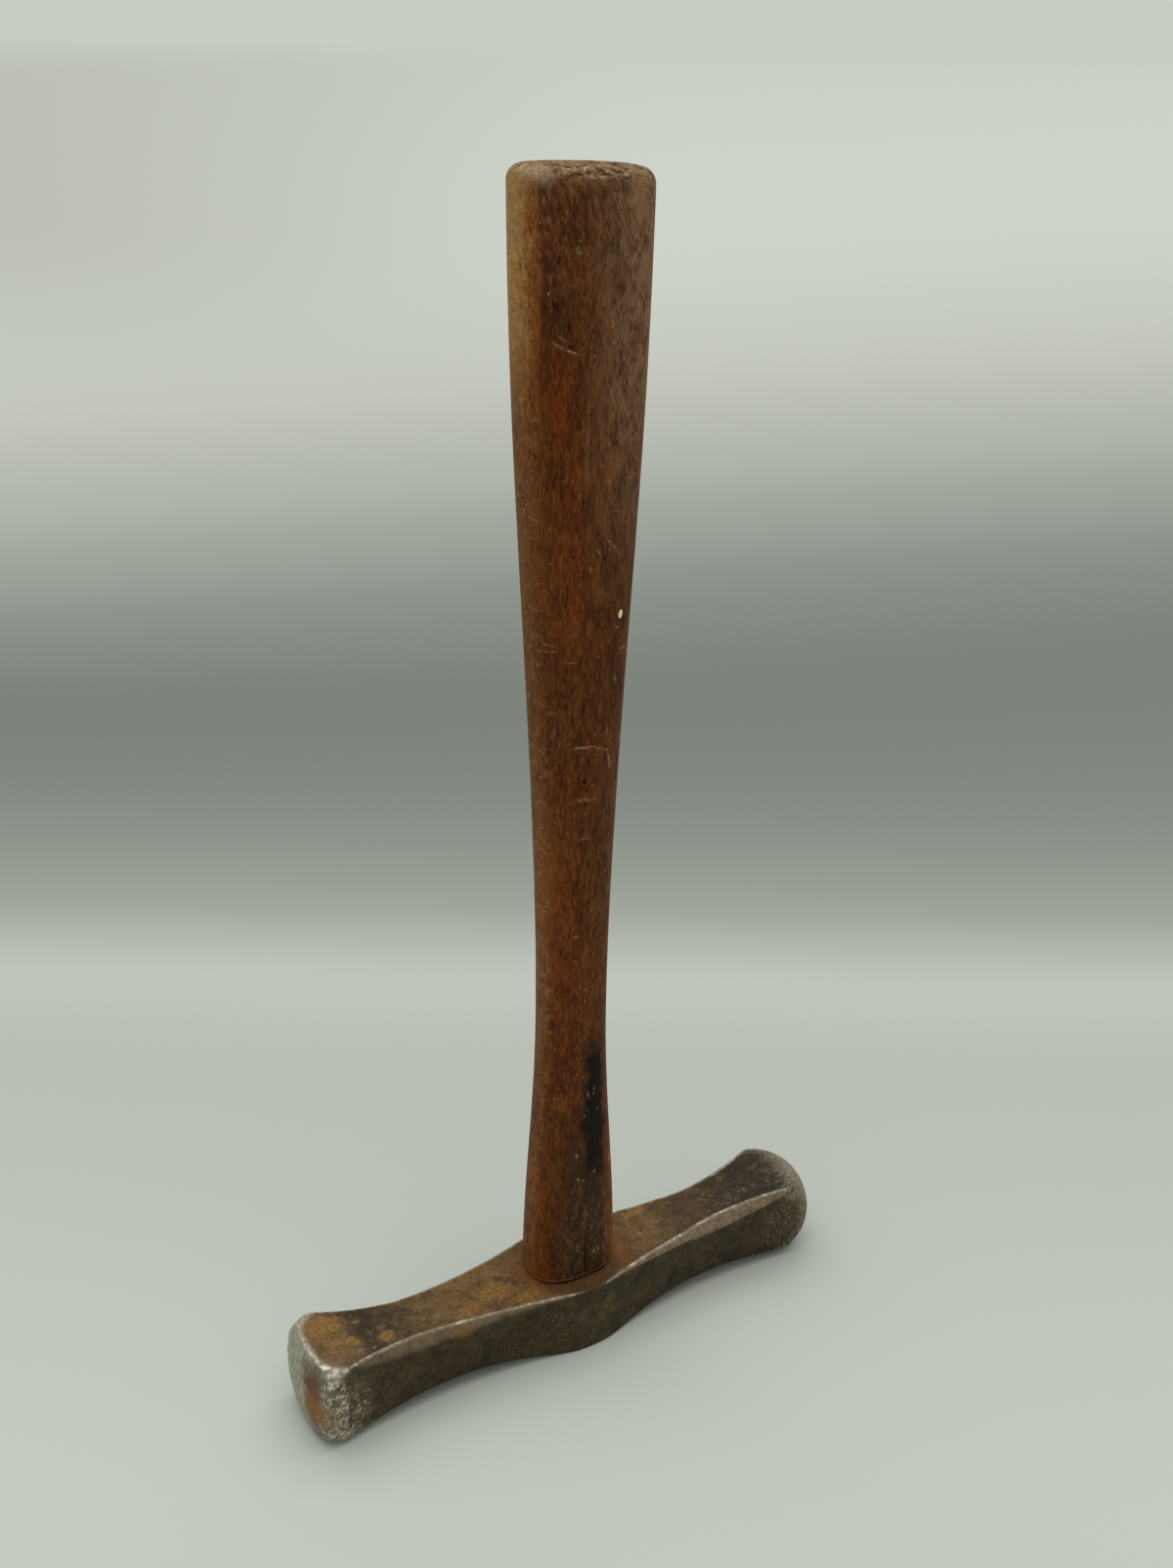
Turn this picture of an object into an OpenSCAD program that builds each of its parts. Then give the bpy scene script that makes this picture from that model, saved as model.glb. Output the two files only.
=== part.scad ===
// Boilermaker's hammer: a double-faced forged head on a turned and shaved
// handle, held in its eye by one wooden wedge and two steel wedges. It stands
// on the crown of its head, as it does on a bench, with the handle upright.
// X runs along the head, Y across it and Z up the handle. The origin is the
// middle of the eye, on the crown's flat. All sizes are in millimetres.

/* [Head] */
// Length of the head over both crowned faces
head_l = 173.3; // [160:0.1:190]
// Height of the head at the eye, from the crown to the handle side
head_h = 22; // [20:0.5:26]
// Width over the cheeks, either side of the eye
cheek_w = 31; // [30:0.2:36]
// Radius that rounds the cheeks, seen from the handle
cheek_r = 70; // [50:5:100]
// Half length over which the cheeks are rounded
cheek_run = 10; // [8:0.5:12]

/* [Arms] */
// Distance from the eye's middle to the slimmest place of each arm
neck_x = 45.7; // [42:0.1:50]
// Width of the arms at the slimmest place
neck_w = 21.7; // [20:0.1:23]
// Radius of each side, from the slimmest place back to the eye
neck_r_eye = 183; // [170:1:200]
// Radius of each side, from the slimmest place out to the face
neck_r_face = 215; // [180:5:260]
// Half length of the flat round the eye, on the handle side
flat_run = 19; // [17:0.5:24]
// Radius by which the handle side sweeps up to the faces
flare_r = 370; // [320:10:450]
// Depth of the relief under the arms
relief = 2.5; // [1:0.1:3]
// Distance from the eye's middle to the deepest place of the relief
relief_x = 57.4; // [54:0.2:60]
// Radius of the relief
relief_r = 308; // [280:4:340]

/* [Chamfers] */
// Leg of each long chamfer, at the slimmest place of the arm
chamfer = 2.9; // [1.5:0.1:3.5]
// Distance from the eye's middle at which the handle side's chamfers begin
chamfer_from = 4; // [2:0.5:8]
// Distance from the eye's middle at which the crown side's chamfers begin
chamfer_low_from = 8; // [4:0.5:14]
// Distance from the eye's middle at which the chamfers run out
chamfer_to = 79; // [76:0.5:84]

/* [Flatter face] */
// Radius of its crown
flatter_crown_r = 52; // [40:1:70]
// Radius of the ball that softens its rim
flatter_rim_r = 19; // [18:0.1:20.5]
// Distance from the face back to the middle of that ball
flatter_rim_back = 13.5; // [12.5:0.1:15]

/* [Rounder face] */
// Radius of its crown
rounder_crown_r = 20.6; // [19:0.2:28]
// Radius of the ball that softens its rim
rounder_rim_r = 17.2; // [17:0.1:19]
// Distance from the face back to the middle of that ball
rounder_rim_back = 16.8; // [15:0.1:16.9]

/* [Eye] */
// Length of the eye's mouth, on the handle side
eye_l = 26.5; // [24:0.1:28]
// Width of the eye's mouth, on the handle side
eye_w = 18.9; // [17:0.1:20]
// Amount by which the eye narrows all round towards its waist
eye_pinch = 0.7; // [0.2:0.1:1.2]
// Amount by which the eye widens all round from its waist to the crown
eye_flare = 1.1; // [0.4:0.1:1.6]
// Height of the waist above the crown
waist_z = 12; // [8:0.5:15]

/* [Handle] */
// Height of the whole hammer, from the crown to the handle's end
total_h = 332; // [260:1:420]
// Amount by which the wood stands proud of the eye all round
shoulder = 0.5; // [0.4:0.1:1.5]
// Height above the crown at which the handle is slimmest
slim_z = 112; // [90:1:140]
// Width of the handle at its slimmest, along the head
slim_w = 19.6; // [17:0.2:24]
// Thickness of the handle at its slimmest, across the head
slim_t = 15.6; // [13:0.2:20]
// Width of the grip at the handle's end, along the head
grip_w = 34; // [28:0.2:40]
// Thickness of the grip at the handle's end, across the head
grip_t = 26; // [20:0.2:32]
// Squareness of the handle's section, where 2 is a plain oval
squareness = 2.5; // [2:0.1:3.5]
// Rounding of the edge round the handle's end
end_round = 4; // [2:0.2:6]
// Rise of the end grain in the middle of the handle's end
end_dome = 0.4; // [0.2:0.1:2]

/* [Wooden wedge] */
// Depth to which the wooden wedge is driven
wood_wedge_depth = 15; // [12:0.5:18]
// Thickness of the wooden wedge at its driven end
wood_wedge_t = 3.4; // [2:0.1:5]

/* [Steel wedges] */
// Distance of each steel wedge from the eye's middle
steel_wedge_x = 6; // [4.5:0.25:7.5]
// Width of a steel wedge, across the eye
steel_wedge_w = 12; // [8:0.5:14]
// Depth to which a steel wedge is driven
steel_wedge_depth = 11; // [7:0.5:12]
// Thickness of a steel wedge at its driven end
steel_wedge_t = 2.2; // [1.5:0.1:3]

/* [Fits] */
// Gap all round the handle's tenon in the eye
tenon_gap = 0.08; // [0.04:0.01:0.2]
// Gap round each wedge
wedge_gap = 0.03; // [0.02:0.01:0.1]
// Distance by which the tenon and the wedges stop short of the crown
tenon_recess = 0.4; // [0.2:0.1:1]

/* [Hidden] */

patina = [0.27, 0.23, 0.19];
ash = [0.36, 0.21, 0.12];
pale_wood = [0.50, 0.37, 0.23];
wedge_steel = [0.42, 0.40, 0.38];

// A size past every edge of the head, for the shapes that cut it
beyond = 2 * (head_h + cheek_w);
fine = 240;

// Thickness of a wedge's thin edge, and how far its slot runs out of the wood
edge_t = 0.5;
slot_out = 1;

// The handle's rings: points in each, spacing, and rings round and over its end
ring_points = 40;
ring_step = 7;
edge_rings = 5;
dome_rings = 4;
// Bevel under the shoulder, where the wood meets the head
lip = 0.3;
// Length of tenon that runs up inside the handle
root = 2;

// Height of an arc of radius r above its lowest point, at the distance run
function rise(run, r) = r - sqrt(r * r - run * run);
// Radius of the arc that rises by height over the distance run
function arc_r(run, height) = (run * run + height * height) / (2 * height);

// Half width, top and bottom of the head at the distance x from its middle
function side_y(x) = min(
    neck_w / 2 + rise(neck_x - x, x < neck_x ? neck_r_eye : neck_r_face),
    x < cheek_run ? cheek_w / 2 - rise(x, cheek_r) : cheek_w / 2);
function top_z(x) = head_h + (x > flat_run ? rise(x - flat_run, flare_r) : 0);
function bottom_z(x) = max(0, relief - rise(relief_x - x, relief_r));

// How far the upper and the lower corner lie from the X axis, along a diagonal
function upper_corner(x) = (side_y(x) + top_z(x)) / sqrt(2);
function lower_corner(x) = (side_y(x) - bottom_z(x)) / sqrt(2);

// Half a size of the handle at the height z, from its base, waist and grip
function ease(a, b, share) = a + (b - a) * (1 - cos(180 * share)) / 2;
function handle_half(z, base, slim, grip) = (z < slim_z
    ? ease(base, slim, (z - head_h) / (slim_z - head_h))
    : ease(slim, grip, (z - slim_z) / (total_h - slim_z))) / 2;
function half_w(z) = handle_half(z, eye_l + 2 * shoulder, slim_w, grip_w);
function half_t(z) = handle_half(z, eye_w + 2 * shoulder, slim_t, grip_t);

// A ring of the handle at the height z, drawn in all round by inset
function signed_power(v, p) = sign(v) * pow(abs(v), p);
function ring(z, inset, share = 1) = [
    for (i = [0 : ring_points - 1])
        let (turn = 360 * i / ring_points)
            [
                (half_w(z) - inset) * share * signed_power(cos(turn), 2 / squareness),
                (half_t(z) - inset) * share * signed_power(sin(turn), 2 / squareness),
                z
            ]
];

// The waste beside an arm, seen square to one flank. Its edge is an arc of
// r_eye from the slimmest place back to the eye and r_face out to the face.
module hollow(level, r_eye, r_face) {
    for (flip = [0, 1])
        mirror([flip, 0]) {
            intersection() {
                translate([neck_x, level + r_eye]) circle(r_eye, $fn = fine);
                translate([0, level - 1]) square([neck_x, beyond]);
            }
            intersection() {
                translate([neck_x, level + r_face]) circle(r_face, $fn = fine);
                translate([neck_x, level - 1]) square([head_l, beyond]);
            }
        }
}

// The head seen along the handle, before its faces are cut
module plan_outline() {
    difference() {
        square([2 * head_l, beyond], center = true);
        difference() {
            square([2 * cheek_run, 2 * beyond], center = true);
            intersection() {
                translate([0, cheek_w / 2 - cheek_r]) circle(cheek_r, $fn = fine);
                translate([0, cheek_r - cheek_w / 2]) circle(cheek_r, $fn = fine);
            }
        }
        for (flip = [0, 1])
            mirror([0, flip]) hollow(neck_w / 2, neck_r_eye, neck_r_face);
    }
}

// The head seen across it, before its faces are cut
module side_outline() {
    difference() {
        translate([-head_l, 0]) square([2 * head_l, beyond]);
        translate([-flat_run, head_h]) square([2 * flat_run, beyond]);
        for (flip = [0, 1])
            mirror([flip, 0]) {
                intersection() {
                    translate([flat_run, head_h + flare_r]) circle(flare_r, $fn = fine);
                    translate([flat_run, head_h - 1]) square([2 * head_l, beyond]);
                }
                translate([relief_x, relief - relief_r]) circle(relief_r, $fn = fine);
            }
    }
}

// The waste along one long edge, on a diagonal of the head's section
module chamfer_waste(tilt, at_neck, at_start, at_end, start) {
    level = at_neck - chamfer / sqrt(2);
    rotate([tilt, 0, 0])
        linear_extrude(beyond, center = true)
            hollow(level,
                arc_r(neck_x - start, at_start - level),
                arc_r(chamfer_to - neck_x, at_end - level));
}

module chamfers() {
    for (flip = [0, 1])
        mirror([0, flip, 0]) {
            chamfer_waste(45, upper_corner(neck_x), upper_corner(chamfer_from),
                upper_corner(chamfer_to), chamfer_from);
            chamfer_waste(-45, lower_corner(neck_x), lower_corner(chamfer_low_from),
                lower_corner(chamfer_to), chamfer_low_from);
        }
}

// All that lies behind the crowned face at the +X end. The crown is a ball of
// crown_r that touches the face's middle, and its rim another ball of rim_r.
module behind_face(crown_r, rim_r, rim_back) {
    x = head_l / 2 - rim_back;
    translate([x, 0, (top_z(x) + bottom_z(x)) / 2])
        rotate([0, 90, 0])
            rotate_extrude($fn = fine) {
                translate([0, -2 * head_l]) square([beyond, 2 * head_l]);
                intersection() {
                    square(rim_r);
                    circle(rim_r, $fn = fine);
                    translate([0, rim_back - crown_r]) circle(crown_r, $fn = fine);
                }
            }
}

// A round-ended slot from z0 to z1 whose width changes from w0 to w1
module tapered_slot(z0, z1, w0, w1) {
    straight = eye_l - eye_w;
    for (side = [-1, 1])
        translate([side * straight / 2, 0, z0])
            cylinder(z1 - z0, w0 / 2, w1 / 2, $fn = fine);
    rotate([90, 0, 90])
        linear_extrude(straight, center = true)
            polygon([[-w0 / 2, z0], [w0 / 2, z0], [w1 / 2, z1], [-w1 / 2, z1]]);
}

// The space in the eye from z0 to z1, less a gap all round. It is narrowest at
// its waist, so that a tenon spread by wedges can't draw out.
module eye_space(gap, z0, z1) {
    waist_w = eye_w - 2 * eye_pinch - 2 * gap;
    widen_up = 2 * eye_pinch / (head_h - waist_z);
    widen_down = 2 * eye_flare / waist_z;
    tapered_slot(z0, waist_z, waist_w + widen_down * (waist_z - z0), waist_w);
    tapered_slot(waist_z, z1, waist_w, waist_w + widen_up * (z1 - waist_z));
}

// A wedge driven up from the tenon's end, or the slot that it needs
module wedge_shape(t, depth, w, gap = 0, out = 0) {
    taper = (t - edge_t) / 2 / depth;
    low = tenon_recess - out;
    high = tenon_recess + depth + gap;
    low_y = t / 2 + gap + taper * out;
    high_y = edge_t / 2 + gap;
    rotate([90, 0, 90])
        linear_extrude(w + 2 * gap, center = true)
            polygon([[-low_y, low], [low_y, low], [high_y, high], [-high_y, high]]);
}

module steel_wedge_shape(side, gap = 0, out = 0) {
    translate([side * steel_wedge_x, 0, 0])
        rotate(90)
            wedge_shape(steel_wedge_t, steel_wedge_depth, steel_wedge_w, gap, out);
}

module steel_wedge_slots() {
    for (side = [-1, 1])
        steel_wedge_shape(side, wedge_gap, slot_out);
}

module tenon() {
    difference() {
        eye_space(tenon_gap, tenon_recess, head_h + root);
        wedge_shape(wood_wedge_t, wood_wedge_depth, 2 * eye_l, wedge_gap, slot_out);
        steel_wedge_slots();
    }
}

// The handle above the head: rings joined by triangles, closed by a flat foot
// and a point in the middle of the end
module shaft() {
    edge_z = total_h - end_dome - end_round;
    body_steps = ceil((edge_z - head_h - 2 * lip) / ring_step);
    rings = concat(
        [ring(head_h, lip)],
        [for (i = [0 : body_steps]) ring(head_h + 2 * lip + (edge_z - head_h - 2 * lip) * i / body_steps, 0)],
        [for (i = [1 : edge_rings])
            let (turn = 90 * i / edge_rings) ring(edge_z + end_round * sin(turn), end_round * (1 - cos(turn)))],
        [for (i = [1 : dome_rings - 1])
            let (share = 1 - i / dome_rings) ring(total_h - end_dome * share * share, end_round, share)]
    );
    last = len(rings) - 1;
    top = len(rings) * ring_points;
    polyhedron(
        concat([for (r = rings) each r], [[0, 0, total_h]]),
        concat(
            [[for (i = [0 : ring_points - 1]) i]],
            [for (r = [0 : last - 1], i = [0 : ring_points - 1], half = [0, 1])
                let (
                    next = (i + 1) % ring_points,
                    a = r * ring_points + i,
                    b = r * ring_points + next,
                    c = b + ring_points,
                    d = a + ring_points
                ) half == 0 ? [a, c, b] : [a, d, c]],
            [for (i = [0 : ring_points - 1])
                [last * ring_points + i, top, last * ring_points + (i + 1) % ring_points]]
        )
    );
}

module head() {
    color(patina)
        difference() {
            intersection() {
                linear_extrude(beyond) plan_outline();
                rotate([90, 0, 0]) linear_extrude(beyond, center = true) side_outline();
                mirror([1, 0, 0]) behind_face(flatter_crown_r, flatter_rim_r, flatter_rim_back);
                behind_face(rounder_crown_r, rounder_rim_r, rounder_rim_back);
            }
            chamfers();
            eye_space(0, -1, head_h + 1);
        }
}

module handle() {
    color(ash) {
        tenon();
        shaft();
    }
}

module wooden_wedge() {
    color(pale_wood)
        difference() {
            intersection() {
                eye_space(tenon_gap, tenon_recess, head_h);
                wedge_shape(wood_wedge_t, wood_wedge_depth, 2 * eye_l);
            }
            steel_wedge_slots();
        }
}

module steel_wedge(side) {
    color(wedge_steel) steel_wedge_shape(side);
}

head();
handle();
wooden_wedge();
steel_wedge(-1);  // steel_wedge_left
steel_wedge(1);  // steel_wedge_right
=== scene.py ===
import math

import bpy
import numpy as np
from mathutils import Euler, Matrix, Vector


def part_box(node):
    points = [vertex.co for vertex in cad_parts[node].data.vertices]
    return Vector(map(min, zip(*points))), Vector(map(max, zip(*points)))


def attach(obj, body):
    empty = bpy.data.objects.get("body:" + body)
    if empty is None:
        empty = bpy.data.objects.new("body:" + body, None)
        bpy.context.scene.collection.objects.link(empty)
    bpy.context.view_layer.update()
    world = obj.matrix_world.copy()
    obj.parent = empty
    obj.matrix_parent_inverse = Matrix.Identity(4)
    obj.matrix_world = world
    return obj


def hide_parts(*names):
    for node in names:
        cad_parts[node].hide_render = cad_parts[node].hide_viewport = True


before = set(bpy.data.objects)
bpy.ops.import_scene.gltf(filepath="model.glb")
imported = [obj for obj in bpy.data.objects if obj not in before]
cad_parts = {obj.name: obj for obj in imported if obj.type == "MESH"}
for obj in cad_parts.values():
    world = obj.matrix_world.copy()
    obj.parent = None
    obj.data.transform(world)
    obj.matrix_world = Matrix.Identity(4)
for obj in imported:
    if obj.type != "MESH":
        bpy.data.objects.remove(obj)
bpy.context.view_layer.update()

MM = 0.001

# Sizes of the head, in millimetres, with X along it and Z up the handle
HEAD_L = (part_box("head")[1].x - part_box("head")[0].x) / MM
HEAD_H = 22.0
CHEEK_W = 31.0
CHEEK_R = 70.0
CHEEK_RUN = 10.0
NECK_X = 45.7
NECK_W = 21.7
NECK_R_EYE = 183.0
NECK_R_FACE = 215.0
FLAT_RUN = 19.0
FLARE_R = 370.0
RELIEF = 2.5
RELIEF_X = 57.4
RELIEF_R = 308.0
CHAMFER = 2.9
CHAMFER_FROM = 4.0
CHAMFER_LOW_FROM = 8.0
CHAMFER_TO = 79.0
FLATTER = {"crown_r": 52.0, "rim_r": 19.0, "rim_back": 13.5}
ROUNDER = {"crown_r": 20.6, "rim_r": 17.2, "rim_back": 16.8}

# How far the head's flats are rounded into each other
SOFT = 0.9
SOFT_CHEEK = 0.5
SOFT_TOP = 0.25
SOFT_SOLE = 0.8
SOFT_RIM = 0.4

# Wear of the head: how uneven it is, its nicked and stepped chamfers, and its battered faces
HEAD_WAVE = 0.12
NICK = 0.13
CHAMFER_STEP = 0.2
BATTER_FINE = 0.10
BATTER_BROAD = 0.09

# The rays that find the head's surface: where they start, how far apart they are, and where they fan out
AXIS_Z = 11.0
AXIS_RISE = 2.9
RAY_REACH = 40.0
HEAD_STEP = 0.45
RING_GAP = 0.03
RING_END_X = 77.0
FAN_X = 70.0
FAN_REACH = 15.0

# Counts of the points and rings in the meshes, and of the halvings that find a surface
FAN_RINGS = 54
HEAD_POINTS = (26, 9, 34, 8, 24)
EYE_POINTS = 144
HANDLE_POINTS = 184
TENON_RINGS = 9
LIP_RINGS = 6
EDGE_RINGS = 14
END_RINGS = 26
HALVINGS = 22

# Edges of up to this many degrees are shaded smooth
SMOOTH_TO = 40.0

# Sizes of the eye, of its cutter, which is longer and turned a little, and of the tenon that fills it
EYE_L = 26.5
EYE_W = 18.9
EYE_PINCH = 0.7
EYE_FLARE = 1.1
WAIST_Z = 12.0
EYE_CUT_OUT = 3.0
EYE_TURN = 0.37
TENON_GAP = 0.08
TENON_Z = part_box("handle")[0].z / MM

# Sizes of the handle
TOTAL_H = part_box("handle")[1].z / MM
SHOULDER = 0.5
SLIM_Z = 112.0
SLIM_W = 19.6
SLIM_T = 15.6
GRIP_W = 34.0
GRIP_T = 26.0
SQUARENESS = 2.5
END_ROUND = 4.0
END_DOME = 0.4
END_TILT = 1.0
TILT_FROM = 30.0
TILT_TO = 5.0
END_SUNK = 0.3
LIP_R = 0.8
LIP_IN = 0.55
RING_STEP = 0.7
END_EDGE_Z = TOTAL_H - END_DOME - END_ROUND

# Sizes of the wedges and their slots
WOOD_WEDGE_DEPTH = 15.0
WOOD_WEDGE_T = 3.4
STEEL_WEDGE_X = 6.0
STEEL_WEDGE_W = 12.0
STEEL_WEDGE_DEPTH = 11.0
STEEL_WEDGE_T = 2.2
WEDGE_EDGE = 0.5
WEDGE_GAP = 0.03
SLOT_OUT = 1.0

# Wear of the handle: waves, grain, a crack at its foot, and dents with their half sizes and depths
HANDLE_WAVE = 0.10
HANDLE_GRAIN = 0.035
CRACK_X = -0.1
CRACK_TOP = 40.0
CRACK_W = 0.22
CRACK_DEPTH = 0.7
CRACK_STEP = math.radians(0.9)
CRACK_CLEAR = math.radians(2.6)
HANDLE_DENTS = (
    ((-2.2, -9.2, 183.7), (0.8, 3, 0.9), 0.6),
    ((-13.0, 3.0, 220.7), (3, 3, 0.8), 0.25),
    ((-12.6, -3.0, 218.0), (3, 4, 0.7), 0.25),
    ((10.2, -6.1, 59.8), (1.4, 1.4, 1.5), 0.6),
    ((-15.0, 0.0, 150.0), (8, 6, 1.5), 0.2),
    ((12.5, 3.0, 205.0), (4, 5, 1.6), 0.3),
    ((4.0, 11.5, 252.0), (5, 4, 1.2), 0.3),
    ((-5.0, 9.5, 168.0), (2, 4, 3.0), 0.25),
)


# Smooth noise

def hashed(cell, seed):
    """A number from -1 to 1 for each lattice cell."""
    n = cell[:, 0] * 73856093 ^ cell[:, 1] * 19349663 ^ cell[:, 2] * 83492791 ^ seed * 2654435761
    n = (n ^ (n >> 13)) * 1274126177 & 0xFFFFFFFF
    n = (n ^ (n >> 16)) * 2246822519 & 0xFFFFFFFF
    return (n >> 8 & 0xFFFF) / 32767.5 - 1


def noise(points, size, seed):
    """Smooth noise from -1 to 1 at each point, with features about size apart."""
    scaled = points / np.asarray(size, float)
    cell = np.floor(scaled).astype(np.int64)
    part = scaled - cell
    part = part * part * part * (part * (part * 6 - 15) + 10)
    total = np.zeros(len(points))
    for corner in np.ndindex(2, 2, 2):
        weight = np.prod(np.where(corner, part, 1 - part), axis=1)
        total += weight * hashed(cell + np.array(corner), seed)
    return total


def rough(points, size, seed, octaves=3):
    """Noise with finer and fainter copies of itself added."""
    size = np.asarray(size, float)
    total = np.zeros(len(points))
    for octave in range(octaves):
        total += noise(points, size / 2 ** octave, seed + octave) / 2 ** octave
    return total / (2 - 0.5 ** (octaves - 1))


# Meshes made of a grid of points

def grid_faces(rings, around):
    """Quads that join each ring of points to the next."""
    ring, step = np.meshgrid(np.arange(rings - 1), np.arange(around), indexing="ij")
    a = ring * around + step
    b = ring * around + (step + 1) % around
    return np.stack([a, b, b + around, a + around], axis=-1).reshape(-1, 4)


def closed_tube(name, rings, start, end):
    """A mesh of the rings (count, around, 3), closed by a point at each end. All are in millimetres."""
    count, around, _ = rings.shape
    points = np.vstack([rings.reshape(-1, 3), start, end]) * MM
    quads = grid_faces(count, around)
    step = np.arange(around)
    after = (step + 1) % around
    start_fan = np.stack([after, step, np.full(around, count * around)], axis=1)
    last = (count - 1) * around
    end_fan = np.stack([last + step, last + after, np.full(around, count * around + 1)], axis=1)
    mesh = bpy.data.meshes.new(name)
    mesh.from_pydata(points.tolist(), [], quads.tolist() + start_fan.tolist() + end_fan.tolist())
    mesh.validate()
    piece = bpy.data.objects.new(name, mesh)
    bpy.context.scene.collection.objects.link(piece)
    return piece


def positions(piece):
    """The piece's vertices in millimetres, one row each."""
    flat = np.empty(len(piece.data.vertices) * 3, np.float32)
    piece.data.vertices.foreach_get("co", flat)
    return flat.reshape(-1, 3).astype(float) / MM


def set_mask(piece, name, values):
    """Stores one number per vertex, for a material to read."""
    layer = piece.data.attributes.new(name, "FLOAT", "POINT")
    layer.data.foreach_set("value", np.clip(values, 0, 1).astype(np.float32))


def cut(piece, cutter):
    """Takes the cutter's space out of the piece, and deletes the cutter."""
    modifier = piece.modifiers.new("cut", "BOOLEAN")
    modifier.operation = "DIFFERENCE"
    modifier.solver = "EXACT"
    modifier.object = cutter
    bpy.context.view_layer.objects.active = piece
    bpy.ops.object.modifier_apply(modifier=modifier.name)
    bpy.data.objects.remove(cutter)


def shade(piece):
    """Shades the piece smooth, apart from its sharp edges."""
    piece.data.shade_smooth()
    piece.data.set_sharp_from_angle(angle=math.radians(SMOOTH_TO))


# Shape of the head

def smooth_step(value, low, high):
    """0 at low, 1 at high, and smooth between them."""
    share = np.clip((value - low) / (high - low), 0, 1)
    return share * share * (3 - 2 * share)


def rise(run, r):
    """Height of an arc of radius r above its lowest point, at the distance run."""
    return r - np.sqrt(np.maximum(r * r - run * run, 0))


def two_arcs(x, centre, r_before, r_after):
    return np.where(x < centre, rise(centre - x, r_before), rise(x - centre, r_after))


def arc_r(run, height):
    return (run * run + height * height) / (2 * height)


def smooth_max(a, b, k):
    """The larger of a and b, rounded over where they are within k of each other."""
    mix = np.maximum(k - np.abs(a - b), 0) / k
    return np.maximum(a, b) + mix * mix * k / 4


def side_y(x):
    arm = NECK_W / 2 + two_arcs(x, NECK_X, NECK_R_EYE, NECK_R_FACE)
    cheek = CHEEK_W / 2 - rise(np.minimum(x, CHEEK_RUN), CHEEK_R)
    return np.where(x < CHEEK_RUN, -smooth_max(-arm, -cheek, SOFT_CHEEK), arm)


def top_z(x):
    return HEAD_H + rise(np.maximum(x - FLAT_RUN, 0), FLARE_R)


def bottom_z(x):
    return np.maximum(0, RELIEF - rise(x - RELIEF_X, RELIEF_R))


def corner(x, upper):
    """Distance of the upper or the lower long corner from the X axis, along a diagonal."""
    return (side_y(x) + (top_z(x) if upper else -bottom_z(x))) / math.sqrt(2)


def chamfer_level(x, upper):
    """Distance of a long chamfer from the X axis, along a diagonal."""
    start = np.array(CHAMFER_FROM if upper else CHAMFER_LOW_FROM)
    neck, end = np.array(NECK_X), np.array(CHAMFER_TO)
    level = corner(neck, upper) - CHAMFER / math.sqrt(2)
    r_before = arc_r(neck - start, corner(start, upper) - level)
    r_after = arc_r(end - neck, corner(end, upper) - level)
    return level + two_arcs(x, neck, r_before, r_after)


def ball(p, x_sign, r, back):
    """Distance of each point past the ball that bounds one striking face."""
    x = HEAD_L / 2 - back
    z = (top_z(np.array(x)) + bottom_z(np.array(x))) / 2
    past = np.sqrt((p[:, 0] * x_sign - x) ** 2 + p[:, 1] ** 2 + (p[:, 2] - z) ** 2) - r
    return np.where(p[:, 0] * x_sign > x, past, -r)


def head_planes(p):
    """Signed distances past each flat of the head, worn and dented as it is."""
    x, y = np.abs(p[:, 0]), np.abs(p[:, 1])
    wave = HEAD_WAVE * (rough(p, 17, 5) - 0.7)
    nick = NICK * np.maximum(rough(p, (2.2, 6, 6), 11) - 0.1, 0)
    step = CHAMFER_STEP * smooth_step(p[:, 0], 38.4, 39.2) * smooth_step(p[:, 0], 60, 45)
    return {
        "side": y - side_y(x) - wave,
        "top": p[:, 2] - top_z(x) - 0.7 * wave,
        "bottom": bottom_z(x) - p[:, 2],
        "upper": (y + p[:, 2]) / math.sqrt(2) - chamfer_level(x, True) + nick + step,
        "lower": (y - p[:, 2]) / math.sqrt(2) - chamfer_level(x, False),
    }


def head_faces(p):
    """Signed distances past the crown and the rim of each striking face."""
    balls = {}
    for x_sign, name, face in ((-1, "flatter", FLATTER), (1, "rounder", ROUNDER)):
        balls[name + "_crown"] = ball(p, x_sign, face["crown_r"], face["crown_r"])
        balls[name + "_rim"] = ball(p, x_sign, face["rim_r"], face["rim_back"])
    return balls


def head_past(p):
    """Distance of each point outside the head, below 0 inside it."""
    planes, balls = head_planes(p), head_faces(p)
    past = smooth_max(planes["side"], planes["upper"], SOFT)
    past = smooth_max(past, planes["top"], SOFT_TOP)
    past = smooth_max(past, planes["lower"], SOFT)
    past = smooth_max(past, planes["bottom"], SOFT_SOLE)
    for face in ("flatter", "rounder"):
        struck = smooth_max(balls[face + "_crown"], balls[face + "_rim"], SOFT_RIM)
        past = smooth_max(past, struck, SOFT)
    near_face = smooth_step(np.abs(p[:, 0]), 74, 82)
    battered = BATTER_FINE * (rough(p, 1.6, 23) + 0.8)
    battered += BATTER_BROAD * np.maximum(rough(p, 4.5, 29), 0)
    return past + near_face * battered


def axis_z(x):
    """Height of the line inside the head that its rings are drawn round."""
    return AXIS_Z + AXIS_RISE * np.minimum(np.abs(x) / FAN_X, 1) ** 2


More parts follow.
